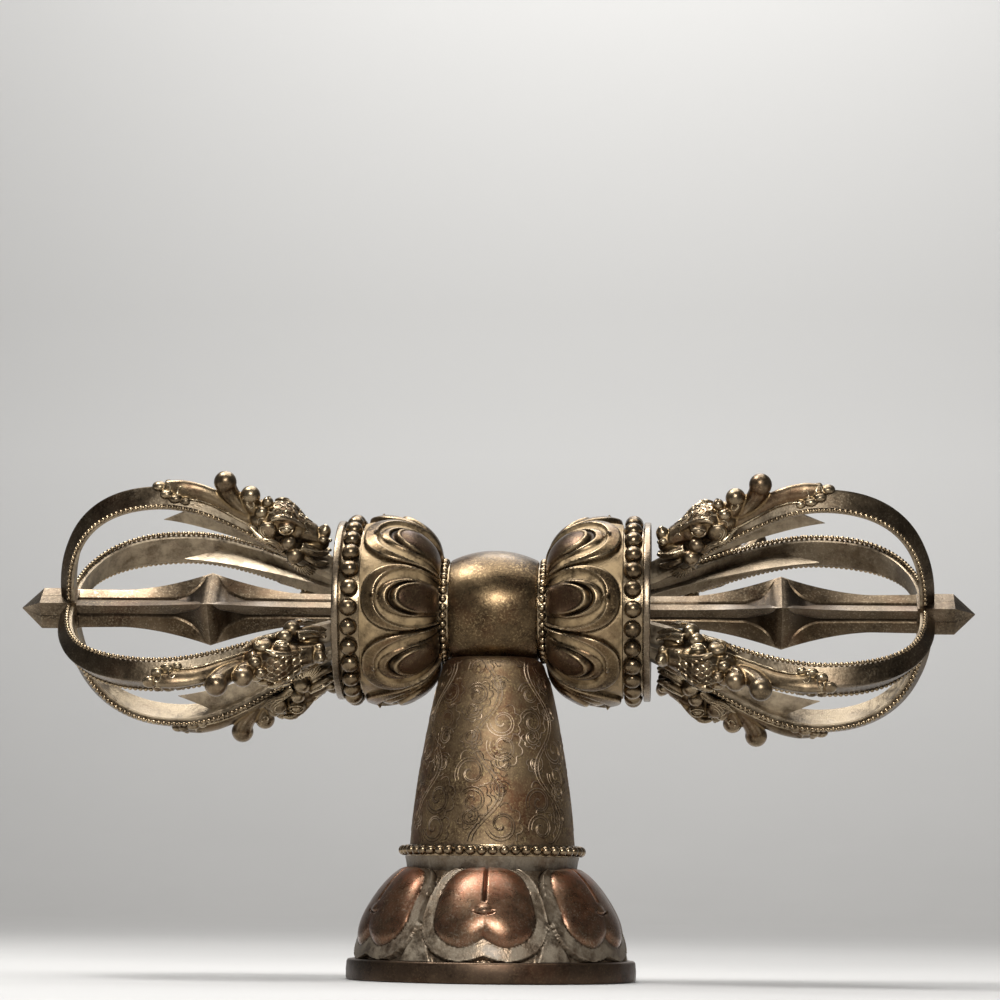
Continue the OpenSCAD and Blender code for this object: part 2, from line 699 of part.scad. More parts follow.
module stand_bolt() {
    head_top = web_foot - washer_thickness;
    color(COPPER) {
        translate([0, 0, head_top - bolt_head_height])
            cylinder(r = 2 * bolt_radius, h = bolt_head_height, $fn = 6);
        translate([0, 0, head_top - 1])
            cylinder(r = bolt_radius, h = column_foot - 2 - head_top, $fn = fine);
    }
}

module stand_washer() {
    color(PALE_BRONZE) translate([0, 0, web_foot - washer_thickness]) difference() {
        cylinder(r = washer_radius, h = washer_thickness, $fn = fine);
        translate([0, 0, -1]) cylinder(r = bolt_radius + fit, h = washer_thickness + 2, $fn = fine);
    }
}

grip_hub();
tie_rod();
for (s = SIDES) {
    neck_beads(s);
    lotus_cup(s);
    mouth_beads(s);
    prong_plate(s);
    centre_prong(s);
    for (c = CORNERS) {
        prong(s, c);
        edging(s, c);
        makara(s, c);
    }
}
stand_column();
stand_beads();
lotus_dome();
plinth();
sealing_sheet();
stand_bolt();
stand_washer();
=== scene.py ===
# %% [markdown]
# # A dorje vajra on its lotus stand
# This lesson dresses a imported CAD model of a cast bronze vajra. The CAD solids fix every size and place;
# Blender adds what a founder's chisel adds: petals, beads, heads, scrolls and a worn patina.
# First the frame is loaded.

# %% Load the frame
import json
import math
import random
from functools import partial

import bmesh
import bpy
import numpy as np
from mathutils import Matrix, Vector
from mathutils.bvhtree import BVHTree


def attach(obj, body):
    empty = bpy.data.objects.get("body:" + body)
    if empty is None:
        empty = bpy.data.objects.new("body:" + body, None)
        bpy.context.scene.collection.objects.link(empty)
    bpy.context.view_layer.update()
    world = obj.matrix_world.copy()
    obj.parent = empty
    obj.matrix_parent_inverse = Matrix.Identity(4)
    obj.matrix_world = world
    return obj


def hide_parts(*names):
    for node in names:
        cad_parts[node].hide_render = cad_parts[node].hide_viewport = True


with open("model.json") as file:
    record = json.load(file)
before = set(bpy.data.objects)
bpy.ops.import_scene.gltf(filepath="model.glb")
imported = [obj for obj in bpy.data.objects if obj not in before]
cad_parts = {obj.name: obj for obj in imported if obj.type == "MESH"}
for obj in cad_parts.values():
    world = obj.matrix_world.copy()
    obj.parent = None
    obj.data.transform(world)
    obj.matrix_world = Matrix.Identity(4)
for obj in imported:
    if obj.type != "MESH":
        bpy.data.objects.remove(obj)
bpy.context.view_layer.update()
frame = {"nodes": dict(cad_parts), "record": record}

dice = random.Random(7)

# %% [markdown]
# ## Placing
# Every piece is drawn in millimetres about its own axis, along +Z, and then laid in its place. The vajra lies
# along X and is rolled a little in its saddle, its left half mirrors the right, and the four prongs of a half
# stand a quarter turn apart. A matrix says all this once, and the place goes into the mesh, so the object itself
# stays at the origin like a CAD node does.

# %% Matrices that lay a piece in its place
MM = 0.001
AXIS_HEIGHT = 161
VAJRA_ROLL, LOTUS_TURN = 10, -6
SIDES = ("left", "right")
CORNERS = ("upper_front", "upper_back", "lower_back", "lower_front")
ON_STAND = Matrix.Scale(MM, 4)


def turn(degrees, axis="Z"):
    return Matrix.Rotation(math.radians(degrees), 4, axis)


def lay(side, extra=0):
    mirror = Matrix.Scale(-1 if side == "left" else 1, 4, (1, 0, 0))
    raised = ON_STAND @ Matrix.Translation((0, 0, AXIS_HEIGHT))
    return raised @ mirror @ turn(90, "Y") @ turn(-90 - VAJRA_ROLL - extra)


def at_corner(side, number):
    return lay(side) @ turn(-45 - 90 * number)


def corners():
    """Side, corner name and place of each of the eight outer prongs."""
    for side in SIDES:
        for number, corner in enumerate(CORNERS):
            yield side, corner, at_corner(side, number)


print("right tip lies at", lay("right") @ Vector((0, 0, 210)))

# %% [markdown]
# ## Relief marks
# Old bronze is dark and its ridges are rubbed bright. In its hollows a near-black colour is painted as shade, and on
# the heads the hollows hold pale dust instead. The mesh itself knows where its hollows and ridges are: at each vertex,
# the neighbours lie above or below the tangent plane. That measure, blurred over a few neighbours, is stored as two
# attributes, hollow and worn, which the finishes read. An ambient occlusion node could do the same, but it costs
# render time and looks different in every export.

# %% Mark hollows and ridges
def mark(mesh, name, values):
    layer = mesh.attributes.new(name, "FLOAT", "POINT")
    layer.data.foreach_set("value", np.clip(values, 0, 1).astype(np.float32))


def read(items, what, width, kind=np.float32):
    values = np.empty(len(items) * width, kind)
    items.foreach_get(what, values)
    return values.reshape(-1, width)


BLUR_ROUNDS, STEEPEST, HOLLOW_GAIN, WORN_GAIN = 3, 2.5, 2.2, 1.5


def mark_relief(mesh):
    count = len(mesh.vertices)
    at = read(mesh.vertices, "co", 3) / MM
    facing = read(mesh.vertex_normals, "vector", 3)
    a, b = read(mesh.edges, "vertices", 2, np.int32).T
    step = at[b] - at[a]
    square = np.maximum((step * step).sum(1), 0.01)
    rise_a = 2 * (facing[a] * step).sum(1) / square
    rise_b = -2 * (facing[b] * step).sum(1) / square
    links = np.maximum(np.bincount(a, minlength=count) + np.bincount(b, minlength=count), 1)

    def gathered(from_a, from_b):
        return (np.bincount(a, from_a, count) + np.bincount(b, from_b, count)) / links

    bend = np.clip(gathered(rise_a, rise_b), -STEEPEST, STEEPEST)
    for _ in range(BLUR_ROUNDS):
        bend = 0.5 * bend + 0.5 * gathered(bend[b], bend[a])
    mark(mesh, "hollow", bend * HOLLOW_GAIN)
    mark(mesh, "worn", -bend * WORN_GAIN)


# %% [markdown]
# ## Finishing a piece
# Each piece ends the same way: its mesh is laid in place, its normals are turned outwards, edges sharper than a
# given angle stay crisp while the rest is shaded smooth, the piece is hung on the body that carries it, the CAD
# nodes it stands for are hidden, and it wears a finish of the record.

# %% Turn a bmesh into a finished piece
def linked(name, data):
    made = bpy.data.objects.new(name, data)
    bpy.context.collection.objects.link(made)
    return made


def baked(thing):
    """Mesh of an object with its modifiers or its bevel applied. The object itself goes."""
    mesh = bpy.data.meshes.new_from_object(thing.evaluated_get(bpy.context.evaluated_depsgraph_get()))
    bpy.data.objects.remove(thing)
    return mesh


def to_mesh(bm, name="shape"):
    bmesh.ops.recalc_face_normals(bm, faces=bm.faces)
    mesh = bpy.data.meshes.new(name)
    bm.to_mesh(mesh)
    bm.free()
    return mesh


def mesh_of(bm, place):
    bmesh.ops.transform(bm, matrix=place, verts=bm.verts)
    return to_mesh(bm)


def settle(mesh, name, body, nodes, slot, crease=35, finish=None):
    mesh.name = name
    mesh.shade_smooth()
    mesh.set_sharp_from_angle(angle=math.radians(crease))
    mark_relief(mesh)
    mesh.materials.clear()
    mesh.materials.append(FINISH[finish or slot])
    piece = linked(name, mesh)
    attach(piece, body)
    if nodes:
        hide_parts(*nodes)
    print(name, len(mesh.polygons), "faces")


# %% [markdown]
# ## Patina as a node group
# All the bronze shares one effect, so it is one node group with its own colours as inputs. A broad noise mottles the
# dark and the middle tone, a fine noise gives the cast grain, a finer one gold specks, and the marks of the mesh
# put painted shade in the hollows (pale dust on the heads), tan dust on the fields and a rub on the ridges. The shader
# stays in each material.

# %% Patina group
def link(tree, source, target):
    tree.links.new(source, target)


def feed(tree, value, target):
    if isinstance(value, bpy.types.NodeSocket):
        link(tree, value, target)
    elif value is not None:
        target.default_value = value


def node(tree, kind, **settings):
    made = tree.nodes.new(kind)
    for key, value in settings.items():
        setattr(made, key, value)
    return made


def math_node(tree, operation, first, second=0.0, third=None, clamp=False):
    made = node(tree, "ShaderNodeMath", operation=operation, use_clamp=clamp)
    for target, value in zip(made.inputs, (first, second, third)):
        feed(tree, value, target)
    return made.outputs[0]


def mixed(tree, share, first, second):
    made = node(tree, "ShaderNodeMix", data_type="RGBA", clamp_factor=True)
    for number, value in ((0, share), (6, first), (7, second)):
        feed(tree, value, made.inputs[number])
    return made.outputs[2]


def noise(tree, where, scale, detail=4.0, roughness=0.6):
    made = node(tree, "ShaderNodeTexNoise")
    link(tree, where, made.inputs["Vector"])
    made.inputs["Scale"].default_value = scale
    made.inputs["Detail"].default_value = detail
    made.inputs["Roughness"].default_value = roughness
    return made.outputs[0]


def spread(tree, value, low, high, to_low=0.0, to_high=1.0):
    made = node(tree, "ShaderNodeMapRange", clamp=True)
    for target, limit in zip(made.inputs, (value, low, high, to_low, to_high)):
        feed(tree, limit, target)
    return made.outputs[0]


def object_place(tree):
    return node(tree, "ShaderNodeTexCoord").outputs["Object"]


def attribute(tree, name):
    return node(tree, "ShaderNodeAttribute", attribute_name=name).outputs["Fac"]


def new_group(name, inputs, outputs):
    tree = bpy.data.node_groups.new(name, "ShaderNodeTree")
    for kind, title, value in inputs:
        socket = tree.interface.new_socket(title, in_out="INPUT", socket_type=kind)
        socket.default_value = value
    for kind, title in outputs:
        tree.interface.new_socket(title, in_out="OUTPUT", socket_type=kind)
    return tree, node(tree, "NodeGroupInput").outputs, node(tree, "NodeGroupOutput").inputs


COLOUR, NUMBER = "NodeSocketColor", "NodeSocketFloat"
patina, given, put = new_group(
    "bronze_patina",
    [(COLOUR, "Deep", (0.05, 0.035, 0.02, 1)), (COLOUR, "Mid", (0.17, 0.12, 0.06, 1)),
     (COLOUR, "Dust", (0.36, 0.25, 0.12, 1)), (COLOUR, "Bright", (0.6, 0.5, 0.36, 1)),
     (COLOUR, "Hollow", (0.01, 0.007, 0.004, 1)),
     (NUMBER, "Shade and dust", 1.0), (NUMBER, "Wear", 1.0), (NUMBER, "Gloss", 0.4), (NUMBER, "Specks", 0.5),
     (NUMBER, "Rust", 0.3)],
    [(COLOUR, "Color"), (NUMBER, "Roughness"), (NUMBER, "Metallic"), (NUMBER, "Height")])
where = object_place(patina)
RUST_RED = (0.12, 0.040, 0.017, 1)
calc, mix, cloud, ramp, marked = (partial(make, patina)
                                  for make in (math_node, mixed, noise, spread, attribute))
broad = ramp(cloud(where, 55, 7, 0.65), 0.38, 0.62)
fine = cloud(where, 760, 4, 0.75)
patches = ramp(cloud(where, 150, 5, 0.6), 0.4, 0.62)
sparkle = ramp(cloud(where, 1100, 2, 0.6), 0.53, 0.63)
sparkle = calc("MULTIPLY", sparkle, calc("MULTIPLY_ADD", patches, 0.8, 0.2))
sparkle = calc("MULTIPLY", sparkle, given["Specks"])
# Painted shade: the hollow mark pulls recesses towards the Hollow colour, near black on every finish but the heads',
# where it is pale dust.
shade_and_dust = calc("MULTIPLY_ADD", marked("field"), -0.6, given["Shade and dust"])
shade_and_dust = calc("MULTIPLY", marked("hollow"), shade_and_dust, clamp=True)
dusty = calc("MULTIPLY_ADD", patches, 0.7, calc("MULTIPLY_ADD", fine, 0.9, -0.15))
dusty = calc("MULTIPLY", dusty, marked("field"), clamp=True)
rubbed = calc("MULTIPLY", marked("worn"), given["Wear"])
rubbed = calc("MULTIPLY", rubbed, calc("ADD", 0.35, broad), clamp=True)
tone = mix(broad, given["Deep"], given["Mid"])
tone = mix(ramp(fine, 0.42, 0.6, 0.0, 0.7), tone, given["Mid"])
rusty = ramp(cloud(where, 42, 4, 0.6), 0.5, 0.66)
rusty = calc("MULTIPLY", rusty, given["Rust"])
tone = mix(rusty, tone, RUST_RED)
tone = mix(rubbed, tone, given["Bright"])
tone = mix(dusty, tone, given["Dust"])
tone = mix(sparkle, tone, given["Dust"])
tone = mix(shade_and_dust, tone, given["Hollow"])
link(patina, tone, put["Color"])
gloss = calc("MULTIPLY_ADD", fine, 0.2, given["Gloss"])
gloss = calc("MULTIPLY_ADD", patches, 0.08, gloss)
gloss = calc("MULTIPLY_ADD", dusty, 0.35, gloss)
gloss = calc("MULTIPLY_ADD", rubbed, -0.12, gloss, clamp=True)
link(patina, gloss, put["Roughness"])
link(patina, calc("MULTIPLY_ADD", dusty, -0.6, 0.96, clamp=True), put["Metallic"])
link(patina, calc("MULTIPLY_ADD", patches, 0.6, fine), put["Height"])
print("group", patina.name, len(patina.nodes), "nodes")

# %% [markdown]
# ## The finishes
# Every slot of the record gets its own material: the group with its own tones, a Principled shader, and a little bump
# for the cast skin. Carved fields, such as the ground of a petal, are punched with tiny dots, and smooth bosses keep a
# reddish lacquer: two more marks of the mesh, field and boss, say where. On the heads the hollows hold pale dust.

# %% Bronze materials
LACQUER_SHARE, COAT_ROUGHNESS, DOTS_SCALE, DOTS_DEPTH, BUMP_DISTANCE = 0.3, 0.18, 1100, 2.4, 0.0006


# The hollow colour is the painted shade of the recesses, near black; the heads' finish sets it to pale dust instead.
def bronze(name, deep, mid, dust, bright, shade_and_dust=1.0, wear=0.7, gloss=0.18, specks=0.5, rust=0.3, boss=None,
           coat=0.0, bump=0.1, hollow=(0.010, 0.006, 0.003)):
    made = bpy.data.materials.new(name)
    made.use_nodes = True
    tree = made.node_tree
    shader = tree.nodes["Principled BSDF"]
    skin = node(tree, "ShaderNodeGroup", node_tree=patina)
    for title, value in (("Deep", deep), ("Mid", mid), ("Dust", dust), ("Bright", bright), ("Hollow", hollow)):
        skin.inputs[title].default_value = (*value, 1)
    for title, value in (("Shade and dust", shade_and_dust), ("Wear", wear), ("Gloss", gloss), ("Specks", specks), ("Rust", rust)):
        skin.inputs[title].default_value = value
    colour, metal = skin.outputs["Color"], skin.outputs["Metallic"]
    if boss:
        clouds = noise(tree, object_place(tree), 260, 5, 0.7)
        share = math_node(tree, "MULTIPLY", attribute(tree, "boss"), spread(tree, clouds, 0.36, 0.62, 0.9, 0.25))
        colour = mixed(tree, share, colour, (*boss, 1))
        metal = math_node(tree, "MULTIPLY_ADD", share, -LACQUER_SHARE, metal, clamp=True)
    link(tree, colour, shader.inputs["Base Color"])
    link(tree, skin.outputs["Roughness"], shader.inputs["Roughness"])
    link(tree, metal, shader.inputs["Metallic"])
    shader.inputs["Coat Weight"].default_value = coat
    shader.inputs["Coat Roughness"].default_value = COAT_ROUGHNESS
    dots = node(tree, "ShaderNodeTexVoronoi")
    dots.inputs["Scale"].default_value = DOTS_SCALE
    link(tree, object_place(tree), dots.inputs["Vector"])
    punched = math_node(tree, "MULTIPLY", attribute(tree, "field"), dots.outputs["Distance"])
    height = math_node(tree, "MULTIPLY_ADD", punched, DOTS_DEPTH, skin.outputs["Height"])
    bumps = node(tree, "ShaderNodeBump")
    bumps.inputs["Strength"].default_value = bump
    bumps.inputs["Distance"].default_value = BUMP_DISTANCE
    link(tree, height, bumps.inputs["Height"])
    link(tree, bumps.outputs["Normal"], shader.inputs["Normal"])
    return made


TAN, GILT = (0.38, 0.27, 0.14), (0.42, 0.32, 0.20)
TONES = {  # deep, mid, dust and bright tone, and what else differs
    "cast_bronze": ((0.022, 0.013, 0.007), (0.110, 0.072, 0.036), TAN, GILT,
                    dict(specks=0.45, boss=(0.050, 0.022, 0.011))),
    "pale_bronze": ((0.032, 0.022, 0.013), (0.100, 0.070, 0.041), (0.46, 0.37, 0.25), (0.28, 0.22, 0.155),
                    dict(gloss=0.2, specks=0.3, rust=0.2)),
    "bead_bronze": ((0.022, 0.013, 0.007), (0.105, 0.070, 0.038), TAN, GILT,
                    dict(gloss=0.15, specks=0.25, rust=0.15)),
    "column_bronze": ((0.066, 0.040, 0.022), (0.230, 0.158, 0.088), (0.38, 0.28, 0.14), (0.33, 0.25, 0.18),
                      dict(gloss=0.4, specks=0.8, rust=0.75, bump=0.16)),
    "stand_bead_bronze": ((0.030, 0.018, 0.010), (0.125, 0.080, 0.046), TAN, GILT, dict(gloss=0.16, specks=0.3)),
    "lacquered_bronze": ((0.050, 0.031, 0.019), (0.15, 0.100, 0.058), (0.26, 0.215, 0.155), (0.34, 0.26, 0.18),
                         dict(boss=(0.25, 0.085, 0.038), coat=0.12, specks=0.8)),
    "makara_bronze": ((0.026, 0.016, 0.009), (0.120, 0.082, 0.045), TAN, (0.44, 0.35, 0.23),
                      dict(shade_and_dust=0.8, wear=0.9, gloss=0.21, specks=0.3, hollow=(0.205, 0.140, 0.068))),
    "plinth_bronze": ((0.022, 0.014, 0.009), (0.066, 0.043, 0.028), (0.2, 0.13, 0.07), (0.15, 0.10, 0.065),
                      dict(gloss=0.3, specks=0.3)),
    # painted shadow laid below each scroll welt of the column
    "painted_shadow_line": ((0.012, 0.008, 0.005), (0.036, 0.023, 0.013), (0.10, 0.07, 0.04), (0.09, 0.065, 0.04),
                      dict(gloss=0.4, specks=0.1)),
    "copper_sheet": ((0.22, 0.10, 0.055), (0.45, 0.22, 0.13), TAN, GILT, dict(gloss=0.45)),
    "iron_rod": ((0.06, 0.058, 0.055), (0.15, 0.145, 0.14), (0.2, 0.12, 0.07), (0.4, 0.4, 0.4), dict(gloss=0.42))}
FINISH = {name: bronze(name, *tones, **other) for name, (*tones, other) in TONES.items()}
for name, thing in frame["nodes"].items():
    slot = next(part["material_slot"] for part in frame["record"]["subparts"] if part["node"] == name)
    thing.data.materials.clear()
    thing.data.materials.append(FINISH[slot])
print("finishes:", ", ".join(FINISH))

# %% [markdown]
# ## Turned pieces
# The barrel, the plates and the plinth came off a lathe. In Blender, too, they are a half profile that is spun round
# the axis. A bevel on the sharp edges gives the small rounding that catches the light on real metal.

# %% Lathe helpers
FACETS = 128


def turned(profile, steps=FACETS, closed=False):
    bm = bmesh.new()
    row = [bm.verts.new((radius, 0, height)) for radius, height in profile]
    lines = [bm.edges.new(pair) for pair in zip(row, row[1:])]
    if closed:
        lines.append(bm.edges.new((row[-1], row[0])))
    bmesh.ops.spin(bm, geom=row + lines, cent=(0, 0, 0), axis=(0, 0, 1), angle=math.tau, steps=steps,
                   use_merge=True)
    bmesh.ops.remove_doubles(bm, verts=bm.verts, dist=1e-4)
    bmesh.ops.recalc_face_normals(bm, faces=bm.faces)
    return bm


def soften(bm, offset, angle=35, segments=3):
    sharp = [edge for edge in bm.edges if edge.calc_face_angle(0) > math.radians(angle)]
    bmesh.ops.bevel(bm, geom=sharp, offset=offset, segments=segments, profile=0.5, affect="EDGES", material=-1)


def lerp(a, b, t):
    return a + (b - a) * t


def bezier(a, b, c, d, t):
    s = 1 - t
    return [p * s ** 3 + 3 * q * t * s * s + 3 * r * t * t * s + e * t ** 3 for p, q, r, e in zip(a, b, c, d)]


def curve(a, b, c, d, steps):
    return [bezier(a, b, c, d, number / steps) for number in range(steps + 1)]


def heading(path, number):
    before, after = path[max(0, number - 1)], path[min(len(path) - 1, number + 1)]
    size = math.hypot(after[0] - before[0], after[1] - before[1])
    return (after[0] - before[0]) / size, (after[1] - before[1]) / size


print("a lathe turns with", FACETS, "facets")

# %% [markdown]
# The barrel is the middle of the grip. Its side is a shallow arc, and a bore for the tie rod runs through it.

# %% Barrel of the grip
HUB_END, HUB_MID_RADIUS, HUB_END_RADIUS = 19.4, 26.6, 22
ROD_BORE = 5.12
rise = HUB_MID_RADIUS - HUB_END_RADIUS
arc = (HUB_END ** 2 + rise ** 2) / (2 * rise)
side_line = [(HUB_MID_RADIUS - arc + math.sqrt(arc ** 2 - z * z), z)
             for z in (HUB_END * number / 20 for number in range(-20, 21))]
barrel = turned([(ROD_BORE, -HUB_END)] + side_line + [(ROD_BORE, HUB_END)], closed=True)
soften(barrel, 0.7)
settle(mesh_of(barrel, lay("right")), "barrel", "vajra", ["grip_hub"], "cast_bronze")

# %% [markdown]
# The plate that carries the prongs is a disc with a dished face. The plinth is a ring with a seat for the sheet that
# seals it from below.

# %% Prong plates and plinth
PLATE_BACK, PLATE_FACE, PLATE_RADIUS, PLATE_BORE, PLATE_DISH = 65.6, 68.6, 39.4, 3.12, 0.4
for side in SIDES:
    plate = turned([(PLATE_BORE, PLATE_BACK), (PLATE_RADIUS, PLATE_BACK), (PLATE_RADIUS, PLATE_FACE),
                    (PLATE_RADIUS - 3, PLATE_FACE), (PLATE_RADIUS - 4, PLATE_FACE - PLATE_DISH),
                    (PLATE_BORE, PLATE_FACE - PLATE_DISH)], closed=True)
    soften(plate, 0.6)
    settle(mesh_of(plate, lay(side)), f"{side}_plate", "vajra", [f"{side}_prong_plate"], "pale_bronze")

PLINTH_RADIUS, PLINTH_HEIGHT, PLINTH_BORE, SHEET_RADIUS, SHEET_SEAT = 63, 9, 50, 57, 3
plinth = turned([(SHEET_RADIUS, 0), (PLINTH_RADIUS, 0), (PLINTH_RADIUS + 0.1, PLINTH_HEIGHT / 2),
                 (PLINTH_RADIUS - 0.3, PLINTH_HEIGHT), (PLINTH_BORE, PLINTH_HEIGHT), (PLINTH_BORE, SHEET_SEAT),
                 (SHEET_RADIUS, SHEET_SEAT)], closed=True)
soften(plinth, 1.1, segments=4)
settle(mesh_of(plinth, ON_STAND), "round_plinth", "stand", ["plinth"], "plinth_bronze")

# %% [markdown]
# ## Bead collars
# Rows of beads frame the barrel, the cups and the column. Each collar is a turned band with a sphere for each bead.
# The beads were cast from wax by hand, so each one differs a little: a seeded random number keeps that the same on
# every run.

# %% Bead collars
def bead_collar(middle, width, circle, radius, count, bore, sides=20):
    band = circle - radius * 0.3
    bm = turned([(bore, middle - width / 2), (band, middle - width / 2), (band - 0.25, middle),
                 (band, middle + width / 2), (bore, middle + width / 2)], closed=True)
    soften(bm, 0.35, angle=50, segments=2)
    for number in range(count):
        size = radius * dice.uniform(0.95, 1.02)
        sway = (circle + dice.uniform(-0.03, 0.03) * radius, 0, middle + dice.uniform(-0.04, 0.04) * radius)
        place = turn(360 * number / count + dice.uniform(-0.3, 0.3)) @ Matrix.Translation(sway)
        bmesh.ops.create_uvsphere(bm, u_segments=sides, v_segments=sides * 2 // 3, radius=size, matrix=place)
    return bm


COLLARS = {"neck": dict(middle=21.7, width=4.6, circle=21.4, radius=1.8, count=36, bore=ROD_BORE, sides=14),
           "mouth": dict(middle=61.1, width=9, circle=38.2, radius=4.05, count=28, bore=29.15)}
STAND_RING = dict(middle=55.9, width=5, circle=38.7, radius=2.25, count=50, bore=34.12, sides=16)
for side in SIDES:
    for kind, sizes in COLLARS.items():
        settle(mesh_of(bead_collar(**sizes), lay(side)), f"{side}_{kind}_collar", "vajra",
               [f"{side}_{kind}_beads"], "bead_bronze")
settle(mesh_of(bead_collar(**STAND_RING), ON_STAND), "stand_bead_ring", "stand", ["stand_beads"],
       "stand_bead_bronze")

# %% [markdown]
# ## Lotus petals
# The cups and the dome are turned bodies whose petals were chased into the wax. The body is spun with a dense net, and
# each vertex then moves out by the petal's height at that spot. The height is a plain function of how far across and
# how far along the petal the spot lies, so the rolled lip, the punched field, the thin line and the boss are all real
# shape. The same function also marks the boss and the punched field for the finish.

# %% Petal helpers
def smooth_step(x, low, high):
    t = min(1, max(0, (x - low) / (high - low)))
    return t * t * (3 - 2 * t)


def ridge(x, middle, half):
    t = abs(x - middle) / half
    return (1 - t * t) ** 2 if t < 1 else 0


def oval(across, along, power):
    return (abs(across) ** power + abs(along) ** power) ** (1 / power)


def raise_petals(bm, side_line, count, first, petal, outward):
    """Move the vertices on the side line's surface by petal(u, v, radius), and set the marks it gives."""
    row_heights = np.array([height for radius, height in side_line])
    normals = []
    for number in range(len(side_line)):
        dr, dz = heading(side_line, number)
        normals.append((outward * dz, -outward * dr))
    boss_mark, field_mark = bm.verts.layers.float.new("boss"), bm.verts.layers.float.new("field")
    for vert in bm.verts:
        number = int(np.abs(row_heights - vert.co.z).argmin())
        radius = math.hypot(vert.co.x, vert.co.y)
        if math.hypot(radius - side_line[number][0], vert.co.z - row_heights[number]) > 0.02:
            continue
        angle = math.degrees(math.atan2(vert.co.y, vert.co.x)) - first
        share = (angle * count / 360 + 0.5) % 1
        height, vert[boss_mark], vert[field_mark] = petal(2 * share - 1, number / (len(side_line) - 1), radius)
        out, up = normals[number]
        vert.co += Vector((vert.co.x / radius * out, vert.co.y / radius * out, up)) * height


# %% [markdown]
# The cup's petal has a rounded end. Its lip is a thick roll, the field inside it is flat and punched, and in the
# middle two almond shells lie one in the other: the inner one ends in a thin raised crescent.

# %% Lotus cups
CUP_PETALS = 8


def cup_petal(u, v, radius):
    across, half = abs(u), math.pi / CUP_PETALS * radius
    inside = (1 - oval(across / 0.985, max(0, v - 0.5) / 0.485, 2.5)) * half
    root = smooth_step(v, -0.06, 0.08)
    if inside <= 0:
        return -0.6 * math.exp(inside / 0.7) * root, 0, 0.9
    lip = 0.7 + 3.3 * smooth_step(v, 0.3, 0.9)
    lip += 0.8 * math.exp(-(across * half / 1.3) ** 2) * smooth_step(v, 0.8, 0.9)
    height = 2.0 * math.sqrt(1 - max(0, 1 - inside / 0.9) ** 2) + 0.5 * min(1, inside / lip)
    field = smooth_step(inside, lip, lip + 0.5) * smooth_step(v, 0.1, 0.4)
    height -= 1.7 * smooth_step(inside, lip, lip + 0.55)
    height += 1.5 * ridge(across * half, 0, 1.8) * ridge(inside, lip, 1.5) * smooth_step(v, 0.75, 0.85)
    shell = oval(across / 0.6, max(0, v - 0.4) / 0.43, 2.2)
    inner = oval(across / 0.49, max(0, v - 0.25) / 0.43, 2.2)
    if shell < 1:
        height += 1.9 * (1 - shell ** 3.2) ** 0.5 * smooth_step(v, -0.1, 0.25)
        end = smooth_step(v, 0.36, 0.56)
        height += end * (0.5 * ridge(inner, 0.96, 0.07) - 1.3 * ridge(inner, 1.09, 0.1))
        field = 0.35 * end * ridge(inner, 0.97, 0.06)
    if inner < 1:
        height += 0.6 * (1 - inner ** 3) ** 0.5 * smooth_step(v, 0.1, 0.4)
    return height * root, smooth_step(1 - inner, 0.02, 0.2), field


CUP_START, CUP_END, CUP_ROWS, CUP_STEPS = 24.0, 56.6, 110, 640
cup_side = curve((21.4, CUP_START), (34.0, 26.4), (43.5, 40.3), (38.2, CUP_END), CUP_ROWS)
for side in SIDES:
    cup = turned([(ROD_BORE, CUP_START)] + cup_side + [(ROD_BORE, CUP_END)], steps=CUP_STEPS, closed=True)
    raise_petals(cup, cup_side, CUP_PETALS, 0, cup_petal, 1)
    settle(mesh_of(cup, lay(side, LOTUS_TURN)), f"{side}_lotus", "vajra", [f"{side}_lotus_cup"], "cast_bronze",
           crease=60)

# %% [markdown]
# The dome's six petals are wide hearts: a flat rim round a swelling boss, both notched at the foot. A straight groove
# runs down from the top of the boss to a short smiling one, and a stem with a spear's head fills each gap.

# %% Lotus dome of the stand
DOME_PETALS, WIDEST = 6, 0.62


def heart(across, v, wide, top, low, notch):
    """0 at the middle of a heart, 1 on its outline. It is widest at one height and notched at its low end."""
    low -= notch * max(0, 1 - across / (0.45 * wide)) ** 1.6
    along = (WIDEST - v) / (WIDEST - top) if v < WIDEST else (v - WIDEST) / (low - WIDEST)
    return oval(across / wide, along, 2.5 if v < WIDEST else 2.7)


def dome_petal(u, v, radius):
    across, half = abs(u), math.pi / DOME_PETALS * radius
    rim = (1 - heart(across, v, 0.985, -0.1, 1.02, 0.05)) * half
    boss = heart(across, v, 0.79, -0.01, 0.925, 0.085)
    spear = smooth_step(v, 0.7, 0.74) * smooth_step((v - 0.68) * 0.8 - (1 - across), -0.03, 0.03)
    stem = ridge(1 - across, 0.1, 0.05) * smooth_step(v, 0.1, 0.3)
    if rim <= 0:
        height = 1.2 * spear + 0.7 * stem * (1 - spear) - 0.9 * math.exp(rim / 0.8) * (1 - spear)
        return height * smooth_step(v, 0, 0.1), 0, 0.35 + 0.65 * spear
    height = 2.1 * smooth_step(rim, -0.1, 0.55) + 0.3 * ridge(rim, 0.7, 0.5)
    field = 0.75
    if boss < 1:
        height += 4.4 * (1 - boss ** 2.4) ** 0.55 - 0.7
        height -= 1.2 * ridge(u * half, 0, 0.85) * (1 - smooth_step(v, 0.56, 0.59))
        smile = 0.68 - 0.02 * (u / 0.15) ** 2
        height -= 1.2 * ridge(v, smile, 0.012) * (1 - smooth_step(across, 0.13, 0.16))
        height += 0.45 * ridge(u * half, 0, 2.6) * ridge(v, 0.645, 0.05)
        field = 0
    height *= smooth_step(v, -0.03, 0.06)
    return height, smooth_step(1 - boss, 0.0, 0.05) * (1 - 0.6 * smooth_step(v, 0.2, 0.6)), field


